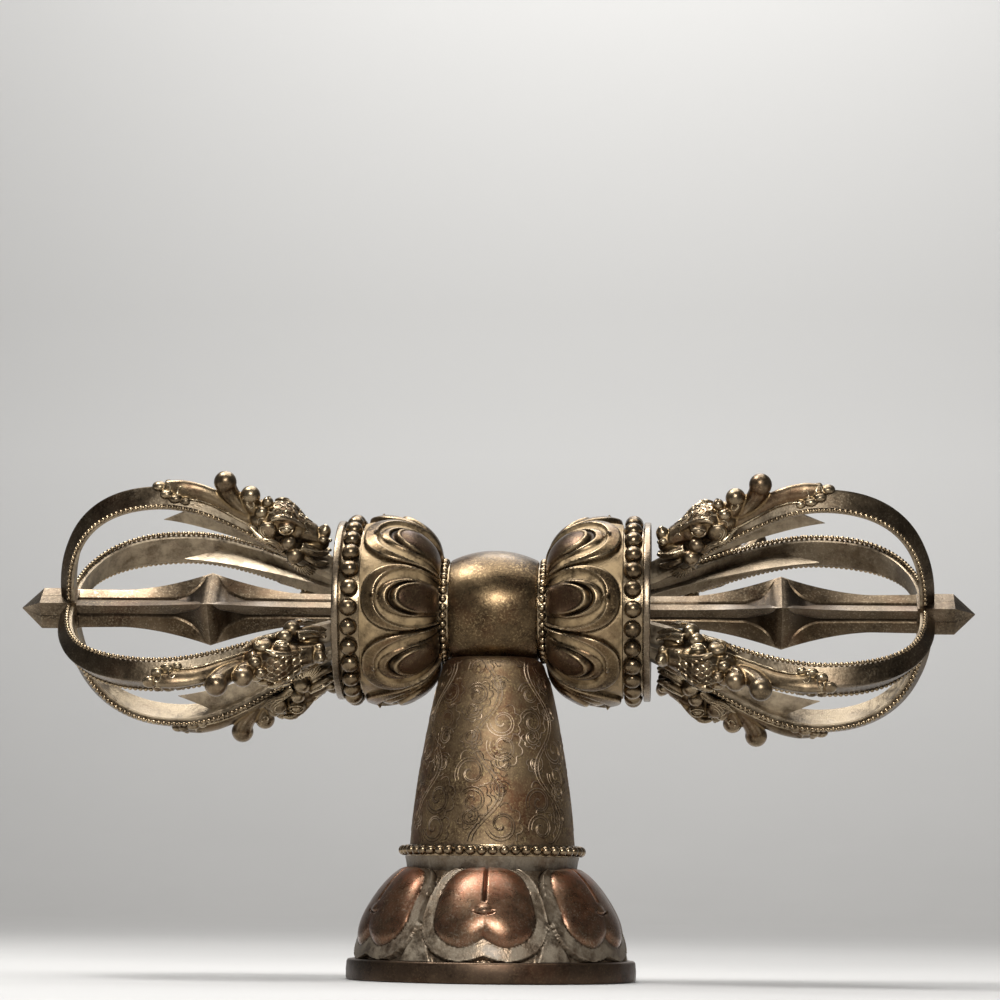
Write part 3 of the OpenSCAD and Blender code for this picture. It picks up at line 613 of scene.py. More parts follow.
DOME_TOP, NECK_TOP, DOME_BORE, NECK_DUST, DOME_ROWS, DOME_STEPS = 47.4, 53.4, 30.12, 0.7, 120, 576
dome_side = curve((37, DOME_TOP), (40, 43), (54.4, 30), (58.2, PLINTH_HEIGHT), DOME_ROWS)
dome = turned([(DOME_BORE, NECK_TOP), (38, NECK_TOP), (37.4, 50.5)] + dome_side
              + [(53, PLINTH_HEIGHT), (43, 30), (DOME_BORE, 38)], steps=DOME_STEPS, closed=True)
raise_petals(dome, dome_side, DOME_PETALS, -90, dome_petal, -1)
ground = dome.verts.layers.float["field"]
for vert in dome.verts:
    if vert.co.z > DOME_TOP:
        vert[ground] = NECK_DUST
settle(mesh_of(dome, ON_STAND), "heart_petal_dome", "stand", ["lotus_dome"], "lacquered_bronze", crease=60)

# %% [markdown]
# ## Lofted bars
# The prongs are bars whose section changes along the way. A ring of edges is made once and then extruded from station
# to station; a number on each vertex says which corner of the section it is, so that the new ring can be moved onto
# the next section. Both ends are closed.

# %% Extrude a ring through stations
def new_shape():
    bm = bmesh.new()
    bm.verts.layers.int.new("corner")
    return bm


def loft(bm, rings):
    corner = bm.verts.layers.int["corner"]
    row = [bm.verts.new(point) for point in rings[0]]
    for number, vert in enumerate(row):
        vert[corner] = number
    edges = [bm.edges.new((row[number - 1], row[number])) for number in range(len(row))]
    bmesh.ops.edgeloop_fill(bm, edges=edges)
    for ring in rings[1:]:
        grown = bmesh.ops.extrude_edge_only(bm, edges=edges)["geom"]
        fresh = {item for item in grown if isinstance(item, bmesh.types.BMVert)}
        for vert in fresh:
            vert.co = ring[vert[corner]]
        edges = [item for item in grown
                 if isinstance(item, bmesh.types.BMEdge) and fresh.issuperset(item.verts)]
    bmesh.ops.edgeloop_fill(bm, edges=edges)


# %% [markdown]
# The centre prong is a bar with four ribs that swells into a sharp lozenge at half length and ends in a block and a
# pyramid. Between two ribs a fine groove follows the valley. Near the lozenge it parts in two, and each half bends to
# its own rib, so that the rib ends in a round tip and the flat faces of the lozenge lie between the tips.

# %% Centre prongs
RIB_ROOT, RIB_END, VALLEY_RADIUS, BLOCK_RADIUS = 7.0, 8.6, 5.0, 9.2
FLARE_MIDDLE, FLARE_RADIUS, FLARE_HALF, RIDGE_HALF, TIP_GAP = PLATE_FACE + 57, 16.2, 40, 9, 3.2
CAGE_END, BAR_END = 190.2, 185.46
BLOCK_END, APEX = 200.8, 210.0


def star(height, rib, valley, groove=1.0, depth=0.0, twist=0):
    ring = []
    for quarter in range(4):
        ahead = math.radians(90 * quarter + twist)
        for way, order in ((1, (0, 1, 2, 3)), (-1, (3, 2, 1))):
            start = ahead if way > 0 else ahead + math.pi / 2
            crest = Vector((math.cos(start), math.sin(start), 0)) * rib
            low = Vector((math.cos(start + way * math.pi / 4), math.sin(start + way * math.pi / 4), 0)) * valley
            cut = crest.lerp(low, groove)
            along = (low - crest).normalized()
            inward = -cut.normalized() * depth
            wide = min(0.75, 0.5 * (cut - crest).length)
            spots = (crest, cut - along * wide, cut + inward - along * wide * 0.3, cut + along * 0.1 + inward)
            ring += [spots[k] + Vector((0, 0, height)) for k in order]
    return ring


def bar_ring(height):
    away = abs(height - FLARE_MIDDLE)
    plain = lerp(RIB_ROOT, RIB_END, (height - PLATE_FACE) / (CAGE_END - PLATE_FACE))
    rib = lerp(plain, FLARE_RADIUS, max(0, 1 - away / FLARE_HALF) ** 1.6)
    valley = lerp(VALLEY_RADIUS, FLARE_RADIUS * math.sqrt(0.5), max(0, 1 - away / RIDGE_HALF) ** 1.5)
    groove = lerp(0.08, 0.93, min(1, max(0, away - TIP_GAP) / 12.5) ** 0.5)
    return star(height, rib, valley, groove, 0.75 * smooth_step(away, TIP_GAP, TIP_GAP + 0.8), -LOTUS_TURN)


for side in SIDES:
    bar = new_shape()
    heights = [lerp(PLATE_FACE - 0.3, BAR_END, k / 90) for k in range(91)]
    loft(bar, [bar_ring(h) for h in sorted(heights + [FLARE_MIDDLE])])
    square = BLOCK_RADIUS * math.sqrt(0.5)
    loft(bar, [star(BAR_END - 1, BLOCK_RADIUS, square), star(BLOCK_END, BLOCK_RADIUS, square), star(APEX, 0.25, 0.2)])
    ribs = [edge for edge in bar.edges if edge.is_convex and edge.calc_face_angle(0) > math.radians(50)]
    bmesh.ops.bevel(bar, geom=ribs, offset=0.3, segments=2, profile=0.5, affect="EDGES", material=-1)
    settle(mesh_of(bar, lay(side)), f"{side}_centre_bar", "vajra", [f"{side}_centre_prong"], "pale_bronze", crease=25)

# %% [markdown]
# ## Outer prongs
# Each outer prong leaves the plate, rises to its crown and bends round to the centre bar. Its line is two Bezier
# curves, given as distance along the vajra and distance from its axis. The section is a low roof: a ridge outside, a
# flat face inside, and rims that carry the beads. A blade with a free barbed tip stands on the inner face.

# %% Line and section of a prong
HALF_BAND, HALF_WIDTH = 2.2, 6.5
BEAD_MIDDLE, RIM_TOP, BAND_FOOT, ROOF_SLOPE = -2.42, -1.945, -4.62, 0.881
ROOT, CROWN = (PLATE_FACE, 22.0), (142.6, 58.0)
END = (CAGE_END, BLOCK_RADIUS * math.sqrt(0.5) - 0.88)
rising = curve(ROOT, (ROOT[0] + 26, ROOT[1] + 14), (CROWN[0] - 25, CROWN[1]), CROWN, 40)
closing = curve(CROWN, (CROWN[0] + 29, CROWN[1]), (CAGE_END, CROWN[1] - 18), END, 40)
prong_line = [(ROOT[0] - 2, ROOT[1] - 0.7)] + rising + closing[1:]


def half_width(axial):
    share = (axial - PLATE_FACE) / (CAGE_END - PLATE_FACE)
    if share < 0.3:
        return HALF_WIDTH - 0.8 * (1 - max(0, share) / 0.3) ** 2
    return HALF_WIDTH if share < 0.7 else HALF_WIDTH - 1.9 * min(1, (share - 0.7) / 0.26) ** 2


def roof(axial, across, softness):
    """How far the outer side stands off the prong's line: two slopes that meet in a softened ridge."""
    return RIM_TOP + ROOF_SLOPE * (half_width(axial) + softness / 2 - math.hypot(across, softness))


def beside(number, off, across):
    """Point at a station of the prong's line, off its middle face and across its width."""
    along, away = heading(prong_line, number)
    axial, radial = prong_line[number]
    return Vector((radial + off * along, across, axial - off * away))


def prong_ring(number):
    axial = prong_line[number][0]
    width = half_width(axial)
    ring = [beside(number, roof(axial, across, 0.35), across)
            for across in (-width, 0.5 - width, -1.1, -0.6, 0, 0.6, 1.1, width - 0.5, width)]
    return ring + [beside(number, BAND_FOOT + lift, across * width)
                   for across, lift in ((1, 0.5), (0.93, 0), (0.4, 0.3), (-0.4, 0.3), (-0.93, 0), (-1, 0.5))]


BLADE_HALF, BLADE_TIP, BLADE_ROOT, BLADE_SEAT = 1.7, (143.6, 45.0), PLATE_FACE + 0.12, -1.1
BLADE_STEPS, LEAVE_STATION, LEAVE_SHARE = 48, 31, 0.8
BLADE_SECTION = [(0, 0.15), (0.3, 0.62), (0.7, 0.92), (1, 1), (1, -1), (0.7, -0.92), (0.3, -0.62), (0, -0.15)]
blade_edge = curve((BLADE_ROOT, 15.0), (BLADE_ROOT + 20, 28.0), (BLADE_TIP[0] - 20, BLADE_TIP[1] - 2.4), BLADE_TIP,
                   BLADE_STEPS)


def blade_rings():
    """Sections of the blade, from its edge to its back, which follows the prong and then leaves it for the tip."""
    rings = []
    leave, tip = beside(LEAVE_STATION, BLADE_SEAT, 0), Vector((BLADE_TIP[1] + 0.2, 0, BLADE_TIP[0]))
    for number, edge in enumerate(blade_edge):
        share = number / BLADE_STEPS
        if share <= LEAVE_SHARE:
            station = 1 + share / LEAVE_SHARE * (LEAVE_STATION - 1)
            low = int(station)
            ahead = beside(min(low + 1, LEAVE_STATION), BLADE_SEAT, 0)
            back = beside(low, BLADE_SEAT, 0).lerp(ahead, station - low)
        else:
            back = leave.lerp(tip, ((share - LEAVE_SHARE) / (1 - LEAVE_SHARE)) ** 0.8)
        back.z = max(back.z, BLADE_ROOT)
        front = Vector((edge[1], 0, edge[0]))
        half = BLADE_HALF * (1 - 0.85 * smooth_step(share, 0.7, 1))
        rings.append([front.lerp(back, t) + Vector((0, half * y, 0)) for t, y in BLADE_SECTION])
    return rings


print("prong line", len(prong_line), "stations, blade", len(blade_edge))

# %% [markdown]
# All eight prongs have the same shape. Their inner faces are dusty, apart from one on the right, which gets less dust
# so that it renders darker, as painted shade. The outer side is dusty near the head.

# %% Eight prongs
OUTER_CORNERS, PAINTED_SHADE_DUST, DUSTY, SIDE_DUST = 9, 0.25, 0.85, 0.5
for side, corner, place in corners():
    prong = new_shape()
    field = prong.verts.layers.float.new("field")
    loft(prong, [prong_ring(number) for number in range(len(prong_line))])
    # Painted shade: the right upper back prong's inner face gets less of the tan dust, so it renders darker.
    dust = PAINTED_SHADE_DUST if (side, corner) == ("right", "upper_back") else DUSTY
    station = prong.verts.layers.int["corner"]
    for vert in prong.verts:
        near = 1 - smooth_step(vert.co.z, CROWN[0] - 14, CROWN[0] + 12)
        vert[field] = dust if vert[station] >= OUTER_CORNERS else SIDE_DUST * near
    band_count = len(prong.verts)
    loft(prong, blade_rings())
    prong.verts.ensure_lookup_table()
    for vert in prong.verts[band_count:]:
        vert[field] = dust
    settle(mesh_of(prong, place), f"{side}_{corner}_prong", "vajra", [f"{side}_prong_{corner}"], "pale_bronze",
           crease=30)

# %% [markdown]
# ## Pearl edging
# A string of small beads runs along both rims of each prong. There are more than a thousand, so each bead is a
# sphere of few faces, smooth shaded, set at equal steps along the edge on a thin rod.

# %% Pearl edging on each prong
BEAD_STEP, PEARL_RADIUS, ROD_RADIUS, EDGING_SIZE = 2.3, 1.05, 0.45, 1.9
EDGING_START = PLATE_FACE + 16


def edge_line(way):
    return [beside(number, BEAD_MIDDLE, way * (half_width(axial) + EDGING_SIZE / 2))
            for number, (axial, radial) in enumerate(prong_line)
            if axial > EDGING_START and radial > BLOCK_RADIUS * 0.85]


def evenly(path, gap):
    points, left = [path[0]], gap
    for start, end in zip(path, path[1:]):
        size = (end - start).length
        while left <= size:
            points.append(start.lerp(end, left / size))
            left += gap
        left -= size
    return points


def frame_along(points):
    """A sideways and an upward direction at each point of a path, carried along without twisting."""
    ways = [(points[min(k + 1, len(points) - 1)] - points[max(k - 1, 0)]).normalized() for k in range(len(points))]
    up = ways[0].orthogonal().normalized()
    frames = []
    for way in ways:
        up = (up - way * up.dot(way)).normalized()
        frames.append((way.cross(up), up))
    return frames


def tube(bm, points, radii, sides=8):
    points = [Vector(point) for point in points]
    rings = []
    for (aside, up), point, radius in zip(frame_along(points), points, radii):
        rings.append([point + (aside * math.cos(math.tau * k / sides) + up * math.sin(math.tau * k / sides)) * radius
                      for k in range(sides)])
    loft(bm, rings)


for side, corner, place in corners():
    pearls = new_shape()
    for way in (-1, 1):
        line = edge_line(way)
        tube(pearls, line, [ROD_RADIUS] * len(line), 6)
        for point in evenly(line, BEAD_STEP):
            bmesh.ops.create_uvsphere(pearls, u_segments=8, v_segments=6, radius=PEARL_RADIUS,
                                      matrix=Matrix.Translation(point))
    settle(mesh_of(pearls, place), f"{side}_{corner}_pearls", "vajra", [f"{side}_edging_{corner}"], "bead_bronze",
           crease=80)

# %% [markdown]
# ## Makara heads
# A makara, a water beast with an upturned snout, bites the root of each prong. It is sculpted once: balls and
# swept tubes are laid over the prong, fused by a voxel remesh as clay would be, and smoothed. Fine lines
# that a remesh would swallow, such as scales, gill ribs and lip rims, are laid on afterwards.

# %% Clay helpers
def over(reach, height, across):
    """Point over the prong: way from the plate, height over its outer face, and across."""
    axial = PLATE_FACE + reach
    for start, end in zip(prong_line, prong_line[1:]):
        if start[0] <= axial <= end[0]:
            radial = lerp(start[1], end[1], (axial - start[0]) / (end[0] - start[0]))
            return Vector((radial + HALF_BAND + height, across, axial))


def on_roof(reach, lift, across):
    """Point over the prong's ridged side: way from the plate, lift off that side, and across from the ridge."""
    axial = PLATE_FACE + reach
    number = max(k for k, (start, radial) in enumerate(prong_line[:-1]) if start <= axial)
    share = (axial - prong_line[number][0]) / (prong_line[number + 1][0] - prong_line[number][0])
    off = roof(axial, across, 1.2) + lift
    return beside(number, off, across).lerp(beside(number + 1, off, across), share)


def ball(bm, place, radii, spot=over):
    size = Matrix.Diagonal((*radii, 1)) if isinstance(radii, tuple) else Matrix.Scale(radii, 4)
    bmesh.ops.create_icosphere(bm, subdivisions=3, radius=1, matrix=Matrix.Translation(spot(*place)) @ size)


PATH_STEPS = 5


def smooth_path(points):
    """Points of a curve that passes through the given points."""
    points = [Vector(point) for point in points]
    ends = [points[0] * 2 - points[1]] + points + [points[-1] * 2 - points[-2]]
    made = []
    for a, b, c, d in zip(ends, ends[1:], ends[2:], ends[3:]):
        for k in range(PATH_STEPS):
            t = k / PATH_STEPS
            made.append((2 * b + (c - a) * t + (2 * a - 5 * b + 4 * c - d) * t * t
                         + (3 * b - a - 3 * c + d) * t ** 3) / 2)
    return made + [points[-1]]


def roll(bm, places, radii, sides=8):
    """A swept tube of clay through places over the prong, its radius passing from one value to the next."""
    points = smooth_path([over(*place) for place in places])
    last = len(points) - 1
    sizes = [float(np.interp(k / last, np.linspace(0, 1, len(radii)), radii)) for k in range(last + 1)]
    tube(bm, points, sizes, sides)


def roll_both(bm, places, radii):
    for way in (-1, 1):
        roll(bm, [(r, h, a * way) for r, h, a in places], radii)


# %% [markdown]
# Skull, jaws, brows, cheeks and crest are balls and rolls that overlap, so that the remesh can join them. Places are
# given as way from the plate, height over the prong and distance across it.

# %% Clay of the head
clay = new_shape()
ball(clay, (24, 7.0, 0), (7.2, 8.2, 8.2))
ball(clay, (31, 3.0, 0), (5.2, 6.8, 7.2))
ball(clay, (18, 6.4, 0), (6.2, 7.0, 6.6))
roll(clay, [(20, 6.5, 0), (13, 7.2, 0), (8, 8.6, 0), (5.6, 11.5, 0), (4.6, 14.4, 0), (4.2, 16.6, 0)],
     [6.4, 5.6, 4.6, 3.4, 2.6, 0.7], sides=16)
ball(clay, (12, 2.5, 0), (4.6, 6.0, 9.0))
for way in (-1, 1):
    ball(clay, (5.4, 10.0, 3.2 * way), (2.0, 1.8, 2.2))
    ball(clay, (20.8, 8.6, 6.6 * way), (3.6, 3.2, 4.0))
    ball(clay, (19.8, 2.8, 9.2 * way), (3.3, 3.3, 3.4))
    ball(clay, (17.4, -1.8, 9.6 * way), (3.9, 3.7, 3.9))
    ball(clay, (28.8, 2.4, 8.6 * way), (4.4, 2.5, 4.2))
    ball(clay, (31.6, 6.6, 3.4 * way), (3.0, 2.6, 3.0))
roll_both(clay, [(13, 11.6, 4.0), (18, 13.0, 5.8), (23, 12.4, 7.8), (27, 9.0, 9.0)], [0.8, 1.5, 1.6, 0.9])
roll_both(clay, [(15, 3.4, 8.2), (10.5, 3.6, 7.4), (6, 4.4, 6.2), (2.6, 6.6, 5.2)], [2.4, 2.3, 1.7, 0.8])
roll_both(clay, [(14.5, -1.0, 7.6), (10, -1.4, 7.2), (6, -0.4, 6.4), (3, 1.2, 5.6)], [1.9, 1.9, 1.5, 0.7])
roll_both(clay, [(22, -2.4, 8.4), (27, -1.2, 8.8), (32, -2.4, 8.6), (37.5, -0.6, 7.6)], [1.8, 1.7, 1.3, 0.5])
roll(clay, [(38.5, 1.2, 0), (42.5, 3.4, 0), (45.8, 7.0, 0), (47, 11, 0)], [3.4, 3.9, 4.3, 4.6], sides=12)
roll(clay, [(31.0, 3.0, 0), (34.4, 4.4, 0), (36.4, 7.0, 0), (36.4, 10.3, 0)], [3.4, 3.8, 4.0, 4.2], sides=12)
ball(clay, (47, 11, 0), 5.0)
ball(clay, (36.4, 10.4, 0), 4.4)
ball(clay, (29, 11.8, 0), 2.5)
print("clay", len(clay.faces), "faces")

# %% [markdown]
# A leaf trails from the head over the prong's ridge: it leaves the head broad, draws in to a round stem, and ends in a
# cloud of curled lobes.

# %% Clay of the trailing leaf
LEAF_START, LEAF_END = 22, 73


def leaf_half(reach):
    return float(np.interp(reach, (22, 36, 46, 54, 60, 66, 73), (5.0, 4.8, 4.4, 3.7, 3.7, 4.4, 3.4)))


leaf_rings = []
for k in range(80):
    reach = lerp(LEAF_START, LEAF_END, k / 79)
    half, thick = leaf_half(reach), lerp(2.0, 4.0, smooth_step(reach, 40, 62)) - smooth_step(reach, 66, 73)
    ring = [on_roof(reach, thick * (1 - abs(t) ** 3) ** 0.5 + 0.1, t * half) for t in np.linspace(-1, 1, 15)]
    leaf_rings.append(ring + [on_roof(reach, -0.9, t * half) for t in (1, 0.4, -0.4, -1)])
loft(clay, leaf_rings)
ball(clay, (75.8, 0.5, 0), (2.0, 2.8, 3.2), on_roof)
for way in (-1, 1):
    ball(clay, (72.6, 0.5, 3.4 * way), (2.0, 2.5, 2.9), on_roof)
    ball(clay, (68.6, 0.4, 4.9 * way), (1.9, 2.1, 2.9), on_roof)
    ball(clay, (64.2, 0.3, 5.2 * way), (1.8, 1.7, 2.2), on_roof)
print("clay with leaf", len(clay.faces), "faces")

# %% [markdown]
# A voxel remesh turns the balls and tubes into one skin, as thumbs do with clay. A few rounds of smoothing take off
# the steps that it leaves.

# %% Fuse the clay
def fused(bm, voxel, rounds):
    lump = linked("clay", to_mesh(bm, "clay"))
    remesh = lump.modifiers.new("fuse", "REMESH")
    remesh.mode = "VOXEL"
    remesh.voxel_size = voxel
    smoothing = lump.modifiers.new("smooth", "SMOOTH")
    smoothing.factor = 0.5
    smoothing.iterations = rounds
    return baked(lump)


VOXEL, SMOOTH_ROUNDS = 0.45, 4
head = fused(clay, VOXEL, SMOOTH_ROUNDS)
print("fused head", len(head.polygons), "faces")

# %% [markdown]
# The chased lines are laid on the fused clay: a path is drawn over the head, dropped onto its surface by a ray, and
# swept into a thin tube. The leaf gets a raised edge and a curl on each of its lobes.

# %% Chased lines on the head
work = bmesh.new()
work.from_mesh(head)
skin = BVHTree.FromBMesh(work)
work.free()
detail = new_shape()
INWARD, RAY_START, LINE_LIFT, LONGEST_STEP = Vector((-1, 0, 0)), 14, 0.1, 2.4


def drop(place, way):
    hit = skin.ray_cast(over(*place) - way * RAY_START, way)[0]
    return None if hit is None else hit - way * LINE_LIFT


def chase(places, radius, way=INWARD):
    """Lay a thin tube over the head, in pieces where the surface falls away."""
    runs = [[]]
    for place in places:
        point = drop(place, way)
        if point is None or runs[-1] and (point - runs[-1][-1]).length > LONGEST_STEP:
            runs.append([])
        if point is not None:
            runs[-1].append(point)
    for points in runs:
        if len(points) > 2:
            tube(detail, points, [radius * min(1, 0.35 + 2 * min(k, len(points) - 1 - k) / len(points))
                                  for k in range(len(points))], 5)


SCALE_WIDTH, SCALE_LENGTH, SCALE_START, SCALE_ROWS = 3.0, 2.6, 26.5, 7
for row in range(SCALE_ROWS):
    for column in range(-3, 4):
        across = (column + 0.5 * (row % 2)) * SCALE_WIDTH
        if abs(across) > 7.2 - 0.35 * abs(row - 4):
            continue
        chase([(SCALE_START - row * SCALE_LENGTH + SCALE_LENGTH * 0.9 * math.cos(t), 4,
                across + SCALE_WIDTH * 0.52 * math.sin(t)) for t in np.linspace(-1.9, 1.9, 9)], 0.5)
for way in (-1, 1):
    sideways = Vector((0, -way, 0))
    for offset in (0.0, 1.5, 2.8):
        chase([(28.8 + (4.2 - offset) * math.cos(t), 2.4 + (4.0 - offset) * math.sin(t), 4 * way)
               for t in np.linspace(-2.4, 1.2, 12)], 0.4, sideways)
    for offset in (-0.9, 0, 0.9):
        chase([(lerp(22, 37, t), -1.6 + offset + 0.9 * math.sin(t * 7), 4 * way) for t in np.linspace(0, 1, 16)],
              0.36, sideways)
    chase([(lerp(15, 2.8, t), 4.6 + 2.4 * t * t, 2 * way) for t in np.linspace(0, 1, 12)], 0.75, sideways)
    chase([(lerp(15, 3.4, t), 0.2 + 1.6 * t * t, 2 * way) for t in np.linspace(0, 1, 12)], 0.7, sideways)
    for rib in range(10):
        angle = math.radians(-165 + rib * 13)
        fan = [over(16.0 + far * math.cos(angle), -2.2 + far * math.sin(angle), side * way)
               for far, side in ((3.2, 10.6), (5.6, 10.0), (7.6, 8.4))]
        tube(detail, fan, [0.62, 0.62, 0.5], 6)
    eye = over(20.6, 8.8, 9.0 * way)
    bmesh.ops.create_uvsphere(detail, u_segments=16, v_segments=10, radius=1,
                              matrix=Matrix.Translation(eye) @ Matrix.Diagonal((1.7, 1.7, 2.3, 1)))
    for lid in (1, -1):
        tube(detail, [eye + Vector((lid * 1.9 * math.sin(t), 0.9 * way * math.sin(t), -3.0 * math.cos(t)))
                      for t in np.linspace(0.1, math.pi - 0.1, 10)], [0.3] + [0.55] * 8 + [0.3], 6)
    curl = [over(36.6 + (3.0 - 0.22 * k) * math.cos(0.7 * k), 8.2 + (3.0 - 0.22 * k) * math.sin(0.7 * k),
                 (3.1 + 0.05 * k) * way) for k in range(12)]
    tube(detail, curl, [0.4] + [0.65] * 10 + [0.4], 6)
    tube(detail, [over(r, h, a * way) for r, h, a in ((46.6, 8.2, 3.9), (44.6, 5.0, 3.4), (41.6, 2.6, 2.6))],
         [0.25, 0.5, 0.25], 6)
    edge = [on_roof(reach, 0.35, (leaf_half(reach) + 0.1) * way) for reach in np.linspace(33, 63, 28)]
    tube(detail, edge, [0.3] + [0.6] * 26 + [0.4], 6)
    for reach, across, size, start in ((66.4, 4.4, 2.5, 2.6), (72.6, 2.6, 2.6, 1.0)):
        chase([(reach + size * (1 - k / 14) * math.cos(start + 0.55 * k), 0,
                (across + size * (1 - k / 14) * math.sin(start + 0.55 * k)) * way) for k in range(12)], 0.42)
print("chased detail", len(detail.faces), "faces")

# %% [markdown]
# The head and its lines become one mesh, and a copy of it goes to each corner.

# %% Eight heads
whole = bmesh.new()
whole.from_mesh(head)
whole.from_mesh(to_mesh(detail, "lines"))
master = bpy.data.meshes.new("makara")
whole.to_mesh(master)
whole.free()
for side, corner, place in corners():
    copy = bmesh.new()
    copy.from_mesh(master)
    settle(mesh_of(copy, place), f"{side}_{corner}_makara", "vajra", [f"{side}_makara_{corner}"], "cast_bronze",
           crease=60, finish="makara_bronze")

# %% [markdown]
# ## Column
# The column is a hollow casting with a saddle in its top. It is turned, and the space of the lying barrel is cut
# from it with a boolean. Its scrolls are fine chased lines: each is a raised welt with a dark line laid just below
# it as its painted shadow. Each curl and each scalloped leaf is drawn flat, wrapped round the column and swept as a
# curve.

# %% Column body with its saddle
COLUMN_FOOT, COLUMN_TOP, FOOT_RADIUS, TOP_RADIUS, SWELL, SHOULDER = 58.4, 140.0, 36.0, 23.4, 1.6, 5.0
LIFT_GAP, PETAL_ROOM, COLLAR_ROOM, CUT_END = 0.3, 3.2, 24.2, 50
SPIGOT_RADIUS, SPIGOT_LENGTH, COLUMN_STEPS = 33.8, 5, 160


def column_radius(height):
    share = min(1, (height - COLUMN_FOOT) / (COLUMN_TOP - SHOULDER - COLUMN_FOOT))
    bend = max(0, height - COLUMN_TOP + SHOULDER)
    rounding = SHOULDER - math.sqrt(max(0, SHOULDER ** 2 - bend ** 2))
    return lerp(FOOT_RADIUS, TOP_RADIUS, share) + 4 * SWELL * share * (1 - share) - rounding


heights = list(np.linspace(COLUMN_FOOT, COLUMN_TOP - SHOULDER, 56))
heights += [COLUMN_TOP - SHOULDER + SHOULDER * math.sin(t) for t in np.linspace(0.15, math.pi / 2, 12)]
column_side = [(column_radius(h), h) for h in heights]
spigot = COLUMN_FOOT - SPIGOT_LENGTH
shaft = turned([(0, spigot), (SPIGOT_RADIUS, spigot), (SPIGOT_RADIUS, COLUMN_FOOT)] + column_side
               + [(0, COLUMN_TOP)], steps=COLUMN_STEPS)
shaft = linked("shaft", mesh_of(shaft, ON_STAND))
roomy = []
for number, (radius, height) in enumerate(cup_side):
    dr, dz = heading(cup_side, number)
    roomy.append((radius + PETAL_ROOM * dz, height - PETAL_ROOM * dr))
roomy = [point for point in roomy if point[0] > COLLAR_ROOM and point[1] < CUT_END]
roomy = [(COLLAR_ROOM, HUB_END - LIFT_GAP)] + roomy + [(0, CUT_END)]
hollow_line = [(radius + LIFT_GAP, height) for radius, height in side_line]
cutter = turned([(radius, -height) for radius, height in reversed(roomy)] + hollow_line[1:-1] + roomy,
                steps=COLUMN_STEPS)
cutter = linked("cutter", mesh_of(cutter, lay("right")))
saddle = shaft.modifiers.new("saddle", "BOOLEAN")
saddle.operation = "DIFFERENCE"
saddle.solver = "EXACT"
saddle.object = cutter
column_mesh = baked(shaft)
bpy.data.objects.remove(cutter)
settle(column_mesh, "column", "stand", ["stand_column"], "column_bronze")

# %% [markdown]
# Curls branch left and right from seven waving stems. A curve object with a bevel makes each line into a fine tube,
# and becomes a mesh when all are drawn. Each line is drawn twice: a welt, and a dark tube just below it that is its
# painted shadow. No line runs into the saddle.

# %% Scrollwork round the column
SADDLE_RADIUS = 27.5


def saddle_height(angle, height):
    """How far a spot on the column lies below the cut of the saddle."""
    radius = column_radius(height)
    aside = radius * math.sin(angle)
    return AXIS_HEIGHT - math.sqrt(max(0, SADDLE_RADIUS ** 2 - aside ** 2)) - height


def fine_lines(name, thickness):
    made = bpy.data.curves.new(name, "CURVE")
    made.dimensions = "3D"
    made.bevel_depth = thickness
    made.bevel_resolution = 0
    made.resolution_u = 1
    return made


welts, shadow_lines = fine_lines("welts", 0.26), fine_lines("shadow_lines", 0.4)


def draw(points):
    """Wrap flat points, given as angle and height, round the column: a welt, and its painted shadow below it."""
    kept = []
    for angle, height in points:
        if COLUMN_FOOT + 1 < height < COLUMN_TOP - 2 and saddle_height(angle, height) > 2:
            kept.append((angle, height))
        elif len(kept) > 3:
            break
        else:
            kept = []
    if len(kept) < 4:
        return
    # Painted shadow: the second tube lies 0.5 mm lower and a little to the side, sunk deeper, in a near-black finish.
    for lines, lower, sunk in ((welts, 0, 0.1), (shadow_lines, 0.5, 0.22)):
        line = lines.splines.new("POLY")
        line.points.add(len(kept) - 1)
        for point, (angle, height) in zip(line.points, kept):
            radius = column_radius(height) - sunk
            side = angle + lower * 0.6 / radius
            point.co = (radius * math.cos(side), radius * math.sin(side), height - lower, 1)


def wrapped(angle, height, radius, around):
    return angle + radius * math.cos(around) / column_radius(height), height + radius * math.sin(around)


SPIRAL_TURNS = 1.35


def spiral(angle, height, size, way, start):
    """Two outlines of a curling leaf that winds in to its eye, and the scallops round its back."""
    for inset in (0, 1.5):
        draw([wrapped(angle, height, (size - inset) * (1 - t) ** 0.7 + 0.5, start + way * t * SPIRAL_TURNS * math.tau)
              for t in np.linspace(0, 1, 38)])
    draw([wrapped(angle, height, size * (1.1 + 0.3 * abs(math.sin(2 * t * math.tau))),
                  start + way * (1.4 + 3.0 * t)) for t in np.linspace(0, 1, 40)])


STEMS = 7
for stem in range(STEMS):
    middle = math.tau * stem / STEMS + math.radians(11)
    for inset in (-0.9, 0.9):
        draw([(middle + math.radians(11) * math.sin(h / 6.8 + 1.7 * stem) + inset / column_radius(h), h)
              for h in np.linspace(60, 138, 110)])
    for height in np.arange(65, 137, 11.4):
        way = 1 if math.sin(height / 6.8 + 1.7 * stem) < 0 else -1
        size = (6.6 + dice.uniform(-0.8, 0.8)) * column_radius(height) / FOOT_RADIUS + 0.4
        reach = way * size / column_radius(height)
        spiral(middle + reach, height + dice.uniform(0, 2.4), size, way, dice.uniform(2.4, 3.8))
        small = middle - way * 1.1 * size / column_radius(height)
        spiral(small, height + 5.6, size * 0.6, -way, dice.uniform(0, 1.5))
for lines, name, finish in ((welts, "column_scrolls", "column_bronze"), (shadow_lines, "column_grooves", "painted_shadow_line")):
    mesh = baked(linked(name, lines))
    mesh.transform(ON_STAND)
    settle(mesh, name, "stand", [], "column_bronze", crease=80, finish=finish)

# %% [markdown]
# ## Studio
# A plain pale floor runs up into a pale backdrop. A soft lamp hangs high to the left as the key, a wide one hangs
# behind it and puts the light on every face that looks up, and a small one stands in front, where it sets a spot of
# light on each bead and boss. A fourth, out of sight, lights the backdrop, which stands far enough back to walk round
# the object. The world gives an even low light, so the faces that look down stay dark.

